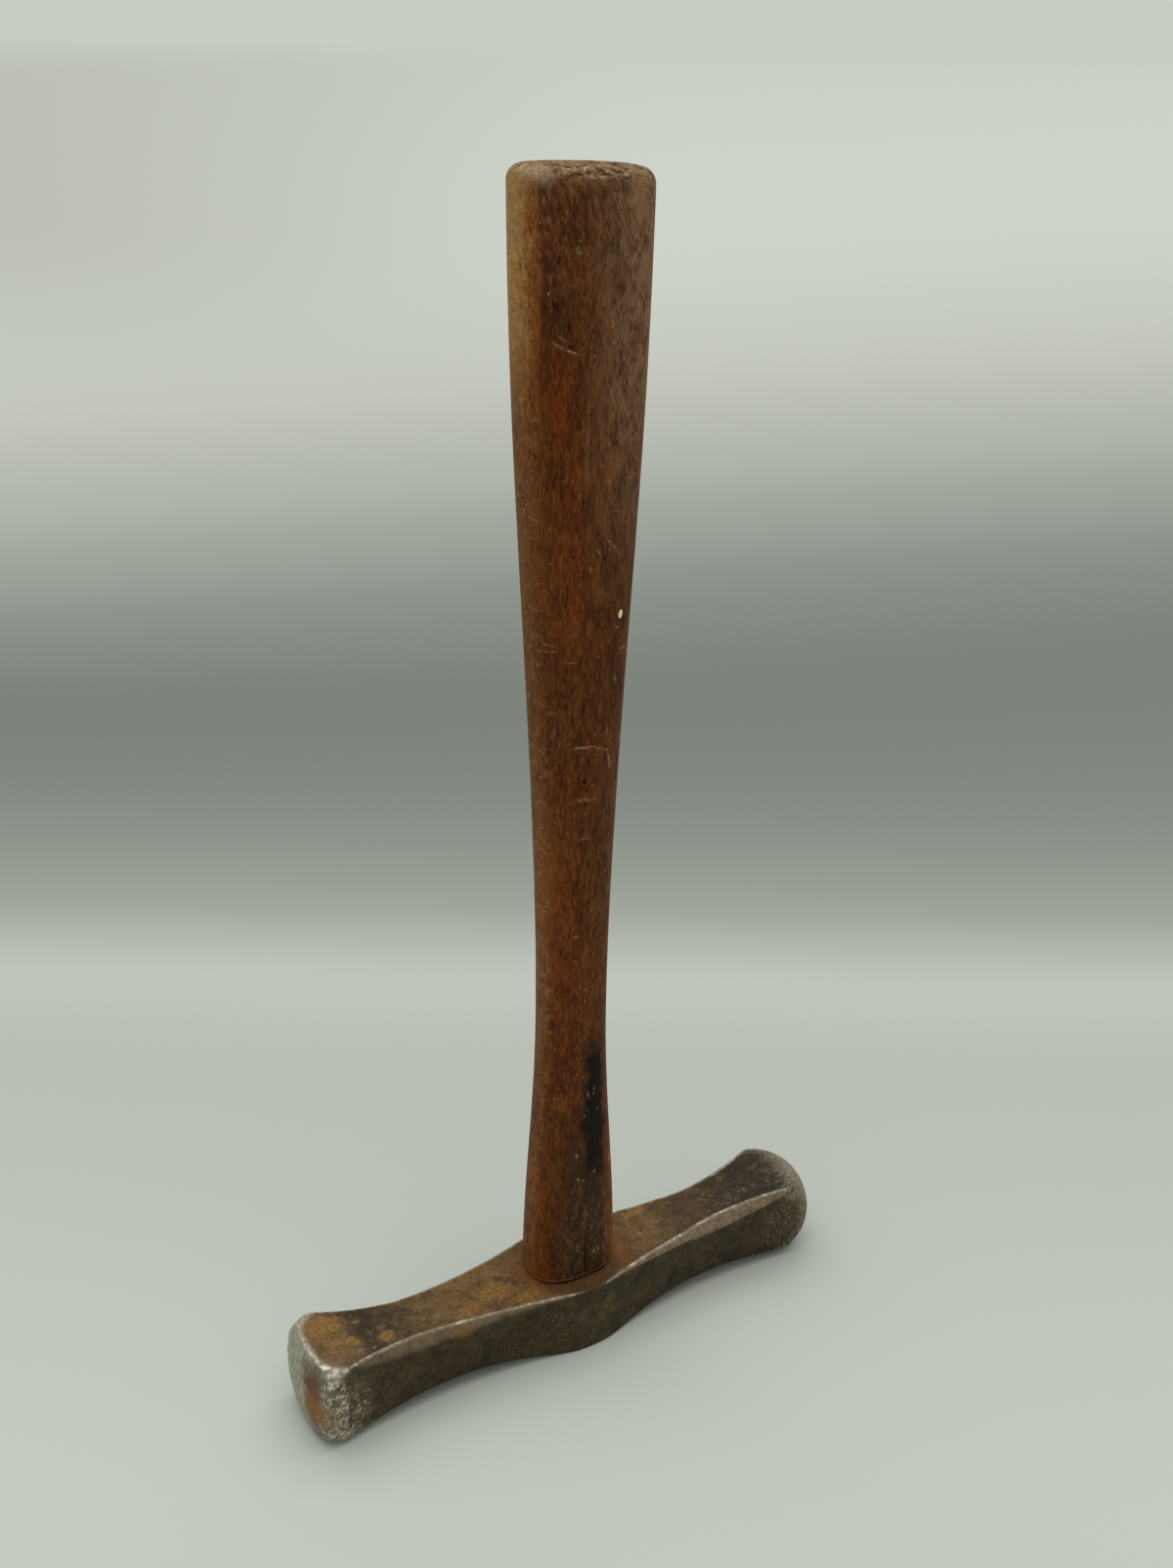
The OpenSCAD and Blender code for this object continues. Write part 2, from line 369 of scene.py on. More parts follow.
def ring_angles(x):
    """Angles round the head at each x, from the top over +Y to the bottom, with points on its edges."""
    x = np.minimum(np.abs(x), RING_END_X)
    side, top, bottom, z = side_y(x), top_z(x), bottom_z(x), axis_z(x)
    upper, lower = chamfer_level(x, True) * math.sqrt(2), chamfer_level(x, False) * math.sqrt(2)
    corners = [
        np.arctan2(np.minimum(upper - top, side), top - z),
        np.arctan2(side, np.minimum(upper - side, top) - z),
        np.arctan2(side, np.maximum(side - lower, bottom) - z),
        np.arctan2(np.minimum(lower + bottom, side), bottom - z),
    ]
    for i in (1, 2, 3):
        corners[i] = np.maximum(corners[i], corners[i - 1] + RING_GAP)
    marks = [np.zeros_like(x), *corners, np.full_like(x, math.pi)]
    angles = []
    for low, high, count in zip(marks[:-1], marks[1:], HEAD_POINTS):
        share = np.arange(count) / count
        if low is marks[0]:
            share = np.sin(share * math.pi / 2)
        elif high is marks[-1]:
            share = 1 - np.cos(share * math.pi / 2)
        else:
            share = (1 - np.cos(share * math.pi)) / 2
        angles.append(low[:, None] + (high - low)[:, None] * share)
    return np.hstack(angles + [marks[-1][:, None]])


def head_rays():
    """Each point's ray, as its start and direction: rings square to the head, then fans over its faces."""
    along = np.linspace(-FAN_X, FAN_X, round(2 * FAN_X / HEAD_STEP) + 1)
    turns = np.linspace(0, math.pi / 2, FAN_RINGS + 2)[1:-1]
    x = np.concatenate([np.full(len(turns), -FAN_X), along, np.full(len(turns), FAN_X)])
    lean = np.concatenate([-turns[::-1], np.zeros(len(along)), turns])
    place = np.where(lean == 0, x, np.sign(x) * (FAN_X + FAN_REACH * np.abs(np.sin(lean))))
    half = ring_angles(place)
    angle = np.hstack([half, 2 * math.pi - half[:, -2:0:-1]])
    lean = np.broadcast_to(lean[:, None], angle.shape)
    origin = np.stack(np.broadcast_arrays(x[:, None], 0.0, axis_z(x)[:, None], angle)[:3], axis=-1)
    toward = np.stack([np.sin(lean), np.cos(lean) * np.sin(angle), np.cos(lean) * np.cos(angle)], axis=-1)
    return origin, toward


def surface_points(origin, toward):
    """Where each ray leaves the head, found by halving."""
    shape = origin.shape
    origin, toward = origin.reshape(-1, 3), toward.reshape(-1, 3)
    low = np.zeros(len(origin))
    high = np.full(len(origin), RAY_REACH)
    for _ in range(HALVINGS):
        middle = (low + high) / 2
        inside = head_past(origin + toward * middle[:, None]) < 0
        low = np.where(inside, middle, low)
        high = np.where(inside, high, middle)
    return (origin + toward * low[:, None]).reshape(shape)


def stadium(angle, length, width):
    """Distance from the middle to the edge of a round-ended slot, at each angle."""
    half, r = (length - width) / 2, width / 2
    c, s = np.abs(np.cos(angle)), np.abs(np.sin(angle))
    round_end = half * c + np.sqrt(np.maximum(r * r - (half * s) ** 2, 0))
    return np.where(r * c > half * s, round_end, r / np.maximum(s, 1e-6))


def eye_ring(angle, z, gap):
    """A ring of points on the wall of the eye at the height z, less a gap."""
    width = EYE_W - 2 * EYE_PINCH
    if z > WAIST_Z:
        width += 2 * EYE_PINCH * (z - WAIST_Z) / (HEAD_H - WAIST_Z)
    else:
        width += 2 * EYE_FLARE * (WAIST_Z - z) / WAIST_Z
    width -= 2 * gap
    r = stadium(angle, EYE_L - EYE_W + width, width)
    return np.stack([r * np.cos(angle), r * np.sin(angle), np.full(len(angle), z)], axis=-1)


def mark_head(head):
    """Stores where the head is worn along its edges, chamfered, or a striking face."""
    p = positions(head)
    planes, balls = head_planes(p), head_faces(p)
    crown = np.maximum(balls["flatter_crown"], balls["rounder_crown"])
    rim = np.maximum(balls["flatter_rim"], balls["rounder_rim"])
    body = np.maximum.reduce(list(planes.values()))
    top_edge = np.hypot(planes["top"], planes["upper"])
    upper, struck = planes["upper"], np.maximum(crown, rim)
    at_end = smooth_step(np.abs(p[:, 0]), 70, 76)
    edge_w = 0.28 + 0.1 * np.exp(-(p[:, 0] / 24) ** 2)
    set_mask(head, "top_edge", np.exp(-(top_edge / edge_w) ** 2))
    crisp_above = smooth_step(upper - planes["top"], -0.15, 0.2)
    blur = 0.75 - 0.55 * smooth_step(p[:, 0], -5, 15)
    soft_below = smooth_step(upper - planes["side"], -0.8 * blur, 1.2 * blur)
    set_mask(head, "chamfer", crisp_above * soft_below * smooth_step(upper, -1.2, -0.4))
    set_mask(head, "face", smooth_step(struck, -2.2, -0.5))
    set_mask(head, "rim", np.exp(-((body - struck) / 1.8) ** 2) * at_end)
    set_mask(head, "rim_line", np.exp(-((body - struck + 0.3) / 0.38) ** 2) * at_end)


def make_head():
    origin, toward = head_rays()
    rings = surface_points(origin, toward)
    ends = []
    for x_sign in (-1, 1):
        start = np.array([[x_sign * FAN_X, 0, axis_z(FAN_X)]])
        ends.append(surface_points(start, np.array([[x_sign, 0, 0]])))
    head = closed_tube("forged_head", rings, ends[0], ends[1])
    # The cutter's points are turned off the head's middle line, so that none meets a point of the head
    angle = (np.arange(EYE_POINTS) + EYE_TURN) / EYE_POINTS * 2 * math.pi
    low, high = -EYE_CUT_OUT, HEAD_H + EYE_CUT_OUT
    eye = np.array([eye_ring(angle, z, 0) for z in (low, WAIST_Z, high)])
    cut(head, closed_tube("eye_cutter", eye, (0, 0, low), (0, 0, high)))
    mark_head(head)
    shade(head)
    return head


# Shape of the handle

def ease(a, b, share):
    return a + (b - a) * (1 - np.cos(math.pi * share)) / 2


def handle_half(z, base, slim, grip):
    lower = ease(base, slim, (z - HEAD_H) / (SLIM_Z - HEAD_H))
    upper = ease(slim, grip, (z - SLIM_Z) / (TOTAL_H - SLIM_Z))
    return np.where(z < SLIM_Z, lower, upper) / 2


def handle_halves(z):
    """Half the handle's width and half its thickness at the height z."""
    half_w = handle_half(z, EYE_L + 2 * SHOULDER, SLIM_W, GRIP_W)
    return half_w, handle_half(z, EYE_W + 2 * SHOULDER, SLIM_T, GRIP_T)


def handle_ring(angle, z, inset=0.0, share=1.0):
    """A ring of the handle at the height z, drawn in all round by inset."""
    half_w, half_t = ((half - inset) * share for half in handle_halves(z))
    c, s = np.abs(np.cos(angle)) / half_w, np.abs(np.sin(angle)) / half_t
    r = (c ** SQUARENESS + s ** SQUARENESS) ** (-1 / SQUARENESS)
    return np.stack([r * np.cos(angle), r * np.sin(angle), np.full(len(angle), float(z))], axis=-1)


def handle_rings(angle):
    """The handle's rings from the tenon's end up to the end grain, and how many are on the tenon."""
    rings = [eye_ring(angle, z, TENON_GAP) for z in np.linspace(TENON_Z, WAIST_Z, TENON_RINGS)]
    rings += [eye_ring(angle, z, TENON_GAP) for z in np.linspace(WAIST_Z, HEAD_H, TENON_RINGS)[1:]]
    on_tenon = len(rings)
    for turn in np.linspace(0, math.pi / 2, LIP_RINGS):
        rings.append(handle_ring(angle, HEAD_H + LIP_R * math.sin(turn), LIP_IN * (1 - math.sin(turn))))
    first_z = HEAD_H + LIP_R + RING_STEP
    for z in np.linspace(first_z, END_EDGE_Z, round((END_EDGE_Z - first_z) / RING_STEP)):
        rings.append(handle_ring(angle, z))
    for turn in np.linspace(0, math.pi / 2, EDGE_RINGS)[1:]:
        z = END_EDGE_Z + END_ROUND * math.sin(turn)
        rings.append(handle_ring(angle, z, END_ROUND * (1 - math.cos(turn))))
    for share in np.linspace(1, 0, END_RINGS)[1:-1]:
        rings.append(handle_ring(angle, TOTAL_H - END_DOME * share ** 2, END_ROUND, share))
    return tilt_end(np.array(rings)), on_tenon


def tilt_end(points):
    """Cuts the handle's end a little out of square, lower towards +X."""
    share = smooth_step(points[..., 2], TOTAL_H - TILT_FROM, TOTAL_H - TILT_TO)
    share = share * (points[..., 0] / GRIP_W + 0.5)
    points[..., 2] -= END_TILT * np.clip(share, 0, 1)
    return points


def ring_normals(rings):
    """Outward directions of a grid of rings."""
    along = np.gradient(rings, axis=0)
    around = np.roll(rings, -1, axis=1) - np.roll(rings, 1, axis=1)
    normal = np.cross(around, along)
    return normal / np.maximum(np.linalg.norm(normal, axis=2, keepdims=True), 1e-9)


def dent(p, place, half):
    """1 at a place, falling smoothly to 0 at about half away from it on each axis."""
    off = (p - np.array(place)) / np.array(half)
    return np.exp(-(off ** 2).sum(axis=1) * 2)


def handle_relief(p):
    """How far the handle's surface stands out at each point, in millimetres."""
    relief = HANDLE_WAVE * rough(p, (13, 13, 55), 31) + HANDLE_GRAIN * rough(p, (1.3, 1.3, 16), 37)
    end = smooth_step(p[:, 2], END_EDGE_Z + 1.5, END_EDGE_Z + 3.6)
    chips = np.maximum(rough(p, 2.6, 41) - 0.12, 0)
    relief = relief * (1 - end) - end * (0.03 + 1.1 * chips + 0.1 * np.abs(rough(p, 0.9, 43, 2)))
    for place, half, depth in HANDLE_DENTS:
        relief -= depth * dent(p, place, half)
    crack = np.exp(-((p[:, 0] - CRACK_X) / CRACK_W) ** 2) * smooth_step(p[:, 1], -7, -9)
    relief -= CRACK_DEPTH * crack * smooth_step(p[:, 2], CRACK_TOP, CRACK_TOP - 7)
    return relief


def mark_handle(handle):
    """Stores how far round the handle each place is: towards -X, towards -Y, and on its narrow sides."""
    p = positions(handle)
    half_w, half_t = handle_halves(p[:, 2])
    u, v = p[:, 0] / half_w, p[:, 1] / half_t
    u, v = (np.sign(a) * np.abs(a) ** (SQUARENESS / 2) for a in (u, v))
    r = np.maximum(np.hypot(u, v), 1e-6)
    set_mask(handle, "left", (1 - u / r) / 2)
    set_mask(handle, "front", (1 - v / r) / 2)
    set_mask(handle, "narrow", 1 - np.abs(v / r))


def make_handle():
    crack_at = math.atan2(-GRIP_T, CRACK_X) % (2 * math.pi)
    even = np.linspace(0, 2 * math.pi, HANDLE_POINTS, endpoint=False)
    beside = crack_at + np.array([-2, -1, 0, 1, 2]) * CRACK_STEP
    angle = np.sort(np.concatenate([even[np.abs(even - crack_at) > CRACK_CLEAR], beside]))
    rings, on_tenon = handle_rings(angle)
    normal = ring_normals(rings)
    relief = handle_relief(rings.reshape(-1, 3)).reshape(rings.shape[:2])
    relief[:on_tenon] = 0
    rings = rings + normal * relief[:, :, None]
    handle = closed_tube("wooden_handle", rings, (0, 0, TENON_Z), (0, 0, TOTAL_H - END_TILT / 2 - END_SUNK))
    cut(handle, wedge_prism("slot", 0, "x", WOOD_WEDGE_T, WOOD_WEDGE_DEPTH, 2 * EYE_L))
    for x in (-STEEL_WEDGE_X, STEEL_WEDGE_X):
        cut(handle, wedge_prism("slot", x, "y", STEEL_WEDGE_T, STEEL_WEDGE_DEPTH, STEEL_WEDGE_W))
    mark_handle(handle)
    shade(handle)
    return handle


def wedge_prism(name, x, along, thickness, depth, width):
    """The slot of a wedge at x whose width lies along an axis, from below the tenon to its thin edge."""
    taper = (thickness - WEDGE_EDGE) / 2 / depth
    half_low = thickness / 2 + WEDGE_GAP + taper * SLOT_OUT
    half_high = WEDGE_EDGE / 2 + WEDGE_GAP
    half_width = width / 2 + WEDGE_GAP
    square = np.array([[-1, -1], [1, -1], [1, 1], [-1, 1]])
    rings = []
    for z, half in ((TENON_Z - SLOT_OUT, half_low), (TENON_Z + depth + WEDGE_GAP, half_high)):
        halves = (half_width, half) if along == "x" else (half, half_width)
        rings.append(np.column_stack([square * halves + [x, 0], np.full(4, z)]))
    return closed_tube(name, np.array(rings), (x, 0, rings[0][0, 2]), (x, 0, rings[1][0, 2]))


# Materials

def rgb(red, green, blue):
    """A colour as amounts of light, from its values on a screen."""
    screen = np.array([red, green, blue]) / 255
    light = np.where(screen <= 0.04045, screen / 12.92, ((screen + 0.055) / 1.055) ** 2.4)
    return (*light.tolist(), 1)


class Value:
    """A number, a colour or a place that nodes work out. Arithmetic on it adds more nodes."""

    def __init__(self, paint, socket):
        self.paint = paint
        self.socket = socket

    def __mul__(self, other):
        return self.paint.maths("MULTIPLY", self, other)

    def __rmul__(self, other):
        return self.paint.maths("MULTIPLY", other, self)

    def __add__(self, other):
        return self.paint.maths("ADD", self, other)

    def __radd__(self, other):
        return self.paint.maths("ADD", other, self)

    def __sub__(self, number):
        return self + -number

    def __truediv__(self, other):
        return self.paint.maths("DIVIDE", self, other)

    def __or__(self, other):
        """The larger of the two."""
        return self.paint.maths("MAXIMUM", self, other)

    def __invert__(self):
        """What is left of 1."""
        return self.paint.maths("SUBTRACT", 1, self, use_clamp=True)

    def above(self, number):
        """How far it is above the number, or 0."""
        return self.paint.maths("SUBTRACT", self, number, use_clamp=True)

    def ramp(self, low, high):
        """0 at low, 1 at high, and smooth between them."""
        inputs = {"Value": self, "From Min": low, "From Max": high}
        return self.paint.get("ShaderNodeMapRange", inputs, interpolation_type="SMOOTHSTEP")

    def spread(self, low, high):
        """A value from 0 to 1 turned into one from low to high."""
        return self.paint.get("ShaderNodeMapRange", {"Value": self, "To Min": low, "To Max": high})

    def mix(self, a, b, blend="MIX"):
        """A colour that goes from a to b, or from a to their product."""
        return self.paint.get("ShaderNodeMix", {0: self, 6: a, 7: b}, 2, data_type="RGBA", blend_type=blend)

    def blend(self, a, b):
        """A number that goes from a to b."""
        return a * ~self + b * self

    def over(self, amount, colour):
        """This colour with another laid over it, by an amount from 0 to 1."""
        return amount.mix(self, colour)

    def darker(self, amount, colour):
        """This colour with another multiplied over it, by an amount from 0 to 1."""
        return amount.mix(self, colour, "MULTIPLY")


RAYS_SEEN = ("Camera", "Glossy", "Transmission")


class Nodes:
    """A tree of nodes that values come from."""

    def __init__(self, owner):
        owner.use_nodes = True
        self.tree = owner.node_tree

    def add(self, kind, inputs=None, **settings):
        """A new node, whose inputs are values of other nodes, numbers or colours."""
        node = self.tree.nodes.new(kind)
        for name, value in settings.items():
            setattr(node, name, value)
        for name, value in (inputs or {}).items():
            self.feed(node.inputs[name], value)
        return node

    def get(self, kind, inputs=None, output=0, **settings):
        """What a new node works out."""
        return Value(self, self.add(kind, inputs, **settings).outputs[output])

    def feed(self, socket, value):
        if isinstance(value, Value):
            self.tree.links.new(value.socket, socket)
        else:
            socket.default_value = value

    def maths(self, operation, *values, **settings):
        return self.get("ShaderNodeMath", dict(enumerate(values)), operation=operation, **settings)

    def vector(self, operation, inputs, output=0):
        return self.get("ShaderNodeVectorMath", inputs, output, operation=operation)

    def split(self, vector):
        return [Value(self, part) for part in self.add("ShaderNodeSeparateXYZ", {0: vector}).outputs]

    def seen(self):
        """1 for a ray that the camera sees, straight on, mirrored or through glass."""
        light = self.add("ShaderNodeLightPath").outputs
        camera, glossy, through = (Value(self, light[f"Is {kind} Ray"]) for kind in RAYS_SEEN)
        return camera | glossy | through


class Paint(Nodes):
    """One material and its nodes. Lengths are in millimetres, and angles in degrees."""

    def __init__(self, name):
        self.material = bpy.data.materials.new(name)
        super().__init__(self.material)
        self.shader = self.tree.nodes["Principled BSDF"]
        place = self.get("ShaderNodeTexCoord", output="Object")
        self.place = self.vector("SCALE", {0: place, "Scale": 1 / MM})
        self.x, self.y, self.z = self.split(self.place)
        self.nx, self.ny, self.nz = self.split(self.get("ShaderNodeNewGeometry", output="Normal"))

    def mask(self, name):
        return self.get("ShaderNodeAttribute", output="Fac", attribute_name=name)

    def framed(self, middle, size, turn=(0, 0, 0), at=None):
        """Coordinates with their zero at middle, in which the size is 1."""
        size = size if isinstance(size, tuple) else (size,) * 3
        inputs = {"Vector": at or self.place, "Location": middle, "Scale": size}
        inputs["Rotation"] = [math.radians(a) for a in turn]
        return self.get("ShaderNodeMapping", inputs, vector_type="TEXTURE")

    def noise(self, size, detail, roughness, shift, turn=(0, 0, 0)):
        """Noise from 0 to 1, mostly near 0.5, with features of the size."""
        place = self.framed((shift, shift / 2, -shift), size, turn)
        inputs = {"Vector": place, "Scale": 1, "Detail": detail, "Roughness": roughness}
        return self.get("ShaderNodeTexNoise", inputs)

    def torn(self, size, amount, shift):
        """Coordinates pushed about by up to the amount, to make an edge ragged."""
        place = self.framed((shift, shift, -shift), size)
        inputs = {"Vector": place, "Scale": 1, "Detail": 3, "Roughness": 0.6}
        push = self.get("ShaderNodeTexNoise", inputs, "Color")
        push = self.vector("SUBTRACT", {0: push, 1: (0.5, 0.5, 0.5)})
        push = self.vector("SCALE", {0: push, "Scale": 2 * amount})
        return self.vector("ADD", {0: self.place, 1: push})

    def patch(self, middle, half, turn=(0, 0, 0), blur=0.9, at=None):
        """1 inside an oval patch, falling to 0 over the blur, which is a share of its size."""
        far = self.vector("LENGTH", {0: self.framed(middle, half, turn, at)}, "Value")
        return far.ramp(1 + blur, 1 - blur)

    def patches(self, places, blur=0.9):
        """Several patches as one, each given by its middle, half sizes and strength."""
        found = None
        for middle, half, strength in places:
            patch = self.patch(middle, half, blur=blur) * strength
            found = found | patch if found else patch
        return found

    def ragged(self, soft, size, reach, crisp, shift):
        """The middle of a soft mask, with an edge as ragged as noise of the size."""
        push = (self.noise(size, 6, 0.7, shift) - 0.5) * reach
        return (soft + push).ramp(0.5 - crisp, 0.5 + crisp)

    def strokes(self, size, length, width, share, shift, turn=(0, 0, 0)):
        """Thin strokes of about the length, along the lines where a noise of the size is in its middle."""
        off = self.maths("SUBTRACT", self.noise(size, 1, 0.5, shift, turn), 0.5)
        where = self.noise(length, 1, 0.5, shift + 57)
        return (off * off).ramp(width * width, 0) * where.ramp(0.72 - share / 2, 0.78 - share / 2)

    def bump(self, height, depth, normal=None):
        """A normal for a surface whose height goes from 0 to 1 over the depth."""
        inputs = {"Height": height, "Distance": depth * MM, "Strength": 1}
        if normal:
            inputs["Normal"] = normal
        return self.get("ShaderNodeBump", inputs)

    def finish(self, **values):
        """Sets the shader's sockets, with a blank for each space in a name."""
        for name, value in values.items():
            self.feed(self.shader.inputs[name.replace("_", " ")], value)
        return self.material


# The head's steel

OXIDE_DARK = rgb(50, 40, 24)
OXIDE = rgb(70, 57, 34)
OXIDE_GREY = rgb(102, 91, 70)
# Tint for pits, and for the painted shade low on the flanks
PIT_AND_SHADE = rgb(150, 140, 126)
TOP_DARK = rgb(56, 41, 24)
TOP_BROWN = rgb(80, 61, 38)
FRECKLE = rgb(124, 102, 78)
KHAKI = rgb(108, 82, 44)
KHAKI_PALE = rgb(128, 102, 64)
OCHRE = rgb(128, 91, 38)
OCHRE_PALE = rgb(150, 116, 64)
OCHRE_DEEP = rgb(122, 82, 30)
OCHRE_STREAK = rgb(152, 104, 46)
RUST = rgb(134, 80, 26)
RUST_DEEP = rgb(110, 66, 26)
EYE_RED_BROWN = rgb(98, 64, 30)
WARM = rgb(96, 58, 10)
TAUPE = rgb(111, 95, 73)
TAUPE_PALE = rgb(142, 124, 101)
GREY_SPECK = rgb(152, 140, 116)
# Near white, for painted highlights on the worn steel
BRIGHT = rgb(238, 228, 208)
FACE_PALE = rgb(182, 177, 160)
FACE_DARK = rgb(132, 126, 109)
SOOT = rgb(38, 31, 22)

KHAKI_PATCHES = (
    ((-33, 0, 22), (21, 15, 6), 0.95),
    ((-20, 0, 22), (14, 16, 6), 1),
    ((24, 0, 22), (14, 14, 6), 0.75),
    ((34, 2, 22), (8, 10, 6), 0.4),
    ((-78, -1.5, 26.5), (7, 10, 4), 1),
)
OCHRE_PATCHES = (
    ((-77.5, 6.5, 26.5), (6.4, 5, 3), 1),
    ((-74.5, -2, 26.2), (4.5, 2, 2), 0.6),
    ((-70.7, -3.6, 25.6), (1.9, 2.8, 2), 0.7),
    ((-62.3, -4.5, 24.5), (2.8, 2.4, 2), 0.75),
    ((-67, 5, 25.2), (1.8, 1.5, 2), 0.5),
    ((-26, -2, 22), (6, 4, 3), 0.8),
    ((-27, 7, 22), (7, 3, 3), 0.55),
    ((-35.5, -5.5, 22), (4, 3, 3), 0.7),
    ((-18, -8.5, 22), (5, 3, 3), 0.9),
    ((28, 7.5, 22), (4, 2, 3), 0.85),
    ((24, -2, 22), (4, 3, 3), 0.5),
    ((-52, 9, 22), (5, 4, 4), 0.55),
    ((60, 10, 14), (7, 4, 5), 0.6),
)
RUST_PATCHES = (
    ((14.6, -3, 22), (3, 9, 3), 0.75),
    ((-14.8, 0, 22), (2.4, 9, 3), 0.6),
    ((86, 6, 10), (4, 4, 5), 0.6),
)
SOOT_PATCHES = (
    ((68, -2, 25), (14, 12, 6), 1.2),
    ((27, 3, 22), (4.5, 2.6, 3), 0.55),
    ((-61, 3, 24.5), (10, 8, 5), 0.6),
    ((-70, 7, 25.5), (5, 4, 3), 0.45),
    ((66, -12, 16), (7, 3, 8), 0.5),
    ((-58, 12, 14), (9, 3, 8), 0.5),
)
SPECKLED_PATCHES = (
    ((0, -15, 12), (14, 5, 9), 0.5),
    ((-79, -13, 14), (8, 6, 14), 0.7),
    ((-70, -12, 12), (9, 6, 12), 0.45),
    ((80, -9, 13), (12, 14, 13), 1.3),
    ((2, 15, 12), (14, 5, 9), 0.7),
    ((-78, 12, 14), (9, 7, 14), 0.6),
    ((56, -3, 24), (12, 8, 4), 0.4),
)


def steel_sides(paint, mottled):
    """The grey-brown oxide of the flanks, with pale grain and fine streaks, and painted shade that makes
    them darker low down.
    """
    colour = mottled.ramp(0.36, 0.68).mix(OXIDE_DARK, OXIDE)
    clouds = paint.noise((4.5, 4.5, 3.5), 5, 0.66, 44).ramp(0.46, 0.66)
    colour = colour.over(clouds * 0.26, OXIDE_GREY)
    streaks = paint.noise((0.7, 0.7, 3.2), 3, 0.6, 47, turn=(0, 14, 0))
    colour = colour.darker(streaks.ramp(0.5, 0.36) * 0.35, PIT_AND_SHADE)
    colour = colour.over(streaks.ramp(0.56, 0.7) * 0.3, OXIDE_GREY)
    # Painted shade: the flanks of the arms darker towards the bottom
    low = paint.z.ramp(13, 3) * paint.x.ramp(-79, -68)
    return colour.darker(low * (paint.x * paint.x).ramp(14 * 14, 34 * 34) * 0.6, PIT_AND_SHADE)


def steel_top(paint, mottled):
    """The brown of the top: dark and freckled towards the faces, khaki round the eye."""
    broad = paint.noise((16, 10, 10), 3, 0.55, 31)
    tone = mottled * 0.7 + broad * 0.3
    colour = tone.ramp(0.4, 0.64).mix(TOP_DARK, TOP_BROWN)
    soot = paint.ragged(paint.patches(SOOT_PATCHES), 5, 1.5, 0.4, 12)
    colour = colour.over(soot * 0.88, SOOT)
    clumps = paint.noise(7, 3, 0.5, 19).ramp(0.4, 0.6)
    freckles = paint.noise(2.1, 4, 0.62, 21).ramp(0.53, 0.64)
    khaki = paint.ragged(paint.patches(KHAKI_PATCHES), 4, 1.3, 0.45, 15)
    dusting = (mottled.ramp(0.45, 0.6) * 0.5).mix(KHAKI, KHAKI_PALE)
    colour = colour.over(khaki, dusting)
    dusty = paint.ragged(paint.patch((-77, -6, 26.5), (5.5, 4.5, 4)), 3, 1.6, 0.4, 18)
    colour = colour.over(dusty * freckles.spread(0.25, 0.75), FRECKLE)
    warm = paint.patch((-6, 0, 22), (30, 16, 4), blur=0.7)
    colour = colour.over(warm * 0.42, WARM)
    colour = colour.over(freckles * clumps * soot.spread(0.75, 0.4), FRECKLE)
    dark = paint.noise(4.2, 5, 0.7, 24).ramp(0.5, 0.41)
    return colour.over(dark * warm.spread(0.35, 0.7), TOP_DARK)


def steel_rust(paint, colour, fine):
    """Ochre and rust, with ragged edges. Both are deeper round the handle."""
    deep = (paint.x * paint.x).ramp(45 * 45, 32 * 32)
    ochre = paint.ragged(paint.patches(OCHRE_PATCHES), 2.4, 2.2, 0.24, 40)
    crumbs = paint.noise(1, 4, 0.7, 49).ramp(0.36, 0.52)
    ochre = ochre * crumbs.spread(0.45, 0.95)
    pale = fine.ramp(0.42, 0.66).mix(OCHRE, OCHRE_PALE)
    colour = colour.over(ochre, pale.over(deep * fine.ramp(0.62, 0.4), OCHRE_DEEP))
    rust = paint.ragged(paint.patches(RUST_PATCHES, 0.95), 3, 1.4, 0.45, 43)
    rusty = fine.ramp(0.38, 0.6).mix(RUST_DEEP, RUST)
    colour = colour.over(rust * 0.75, rusty)
    upper = paint.patch((-85.5, -7.2, 18.4), (5, 4.4, 7), (-32, 0, 0))
    lower = paint.patch((-85.5, -8.9, 12.8), (5, 6.2, 5.8), (-32, 0, 0), 0.8)
    band = upper | lower
    streak = paint.ragged(band, 2.2, 1.8, 0.5, 46) * band.ramp(0, 0.3)
    streaky = fine.ramp(0.38, 0.6).mix(RUST, OCHRE_STREAK)
    streaky = streaky.over(paint.z.ramp(14, 20) * 0.7, TOP_BROWN)
    return colour.over(streak, streaky), streak


def steel_chamfers(paint, colour, mottled, fine):
    """Paler, rubbed steel on the upper chamfers, with a light line along the top edge."""
    rubbed = mottled.ramp(0.34, 0.58)
    far = paint.x.ramp(0, 25)
    rubbed = far.blend(rubbed.spread(0.3, 0.7), rubbed.spread(0.66, 0.95))
    amount = paint.mask("chamfer") * rubbed
    pale = fine.ramp(0.44, 0.62) * far.spread(0.3, 0.8)
    colour = colour.over(amount, pale.mix(TAUPE, TAUPE_PALE))
    orange = paint.ragged(paint.patch((-40.2, -10.2, 20.8), (3.8, 3, 1.9)), 1.8, 2.2, 0.25, 52)
    colour = colour.over(orange * 0.48, OCHRE)
    broken = paint.noise(1.4, 4, 0.7, 51).ramp(0.38, 0.56)
    line = paint.mask("top_edge") * broken.spread(0.6, 1)
    return colour.over(line, fine.ramp(0.4, 0.52).mix(TAUPE_PALE, GREY_SPECK))


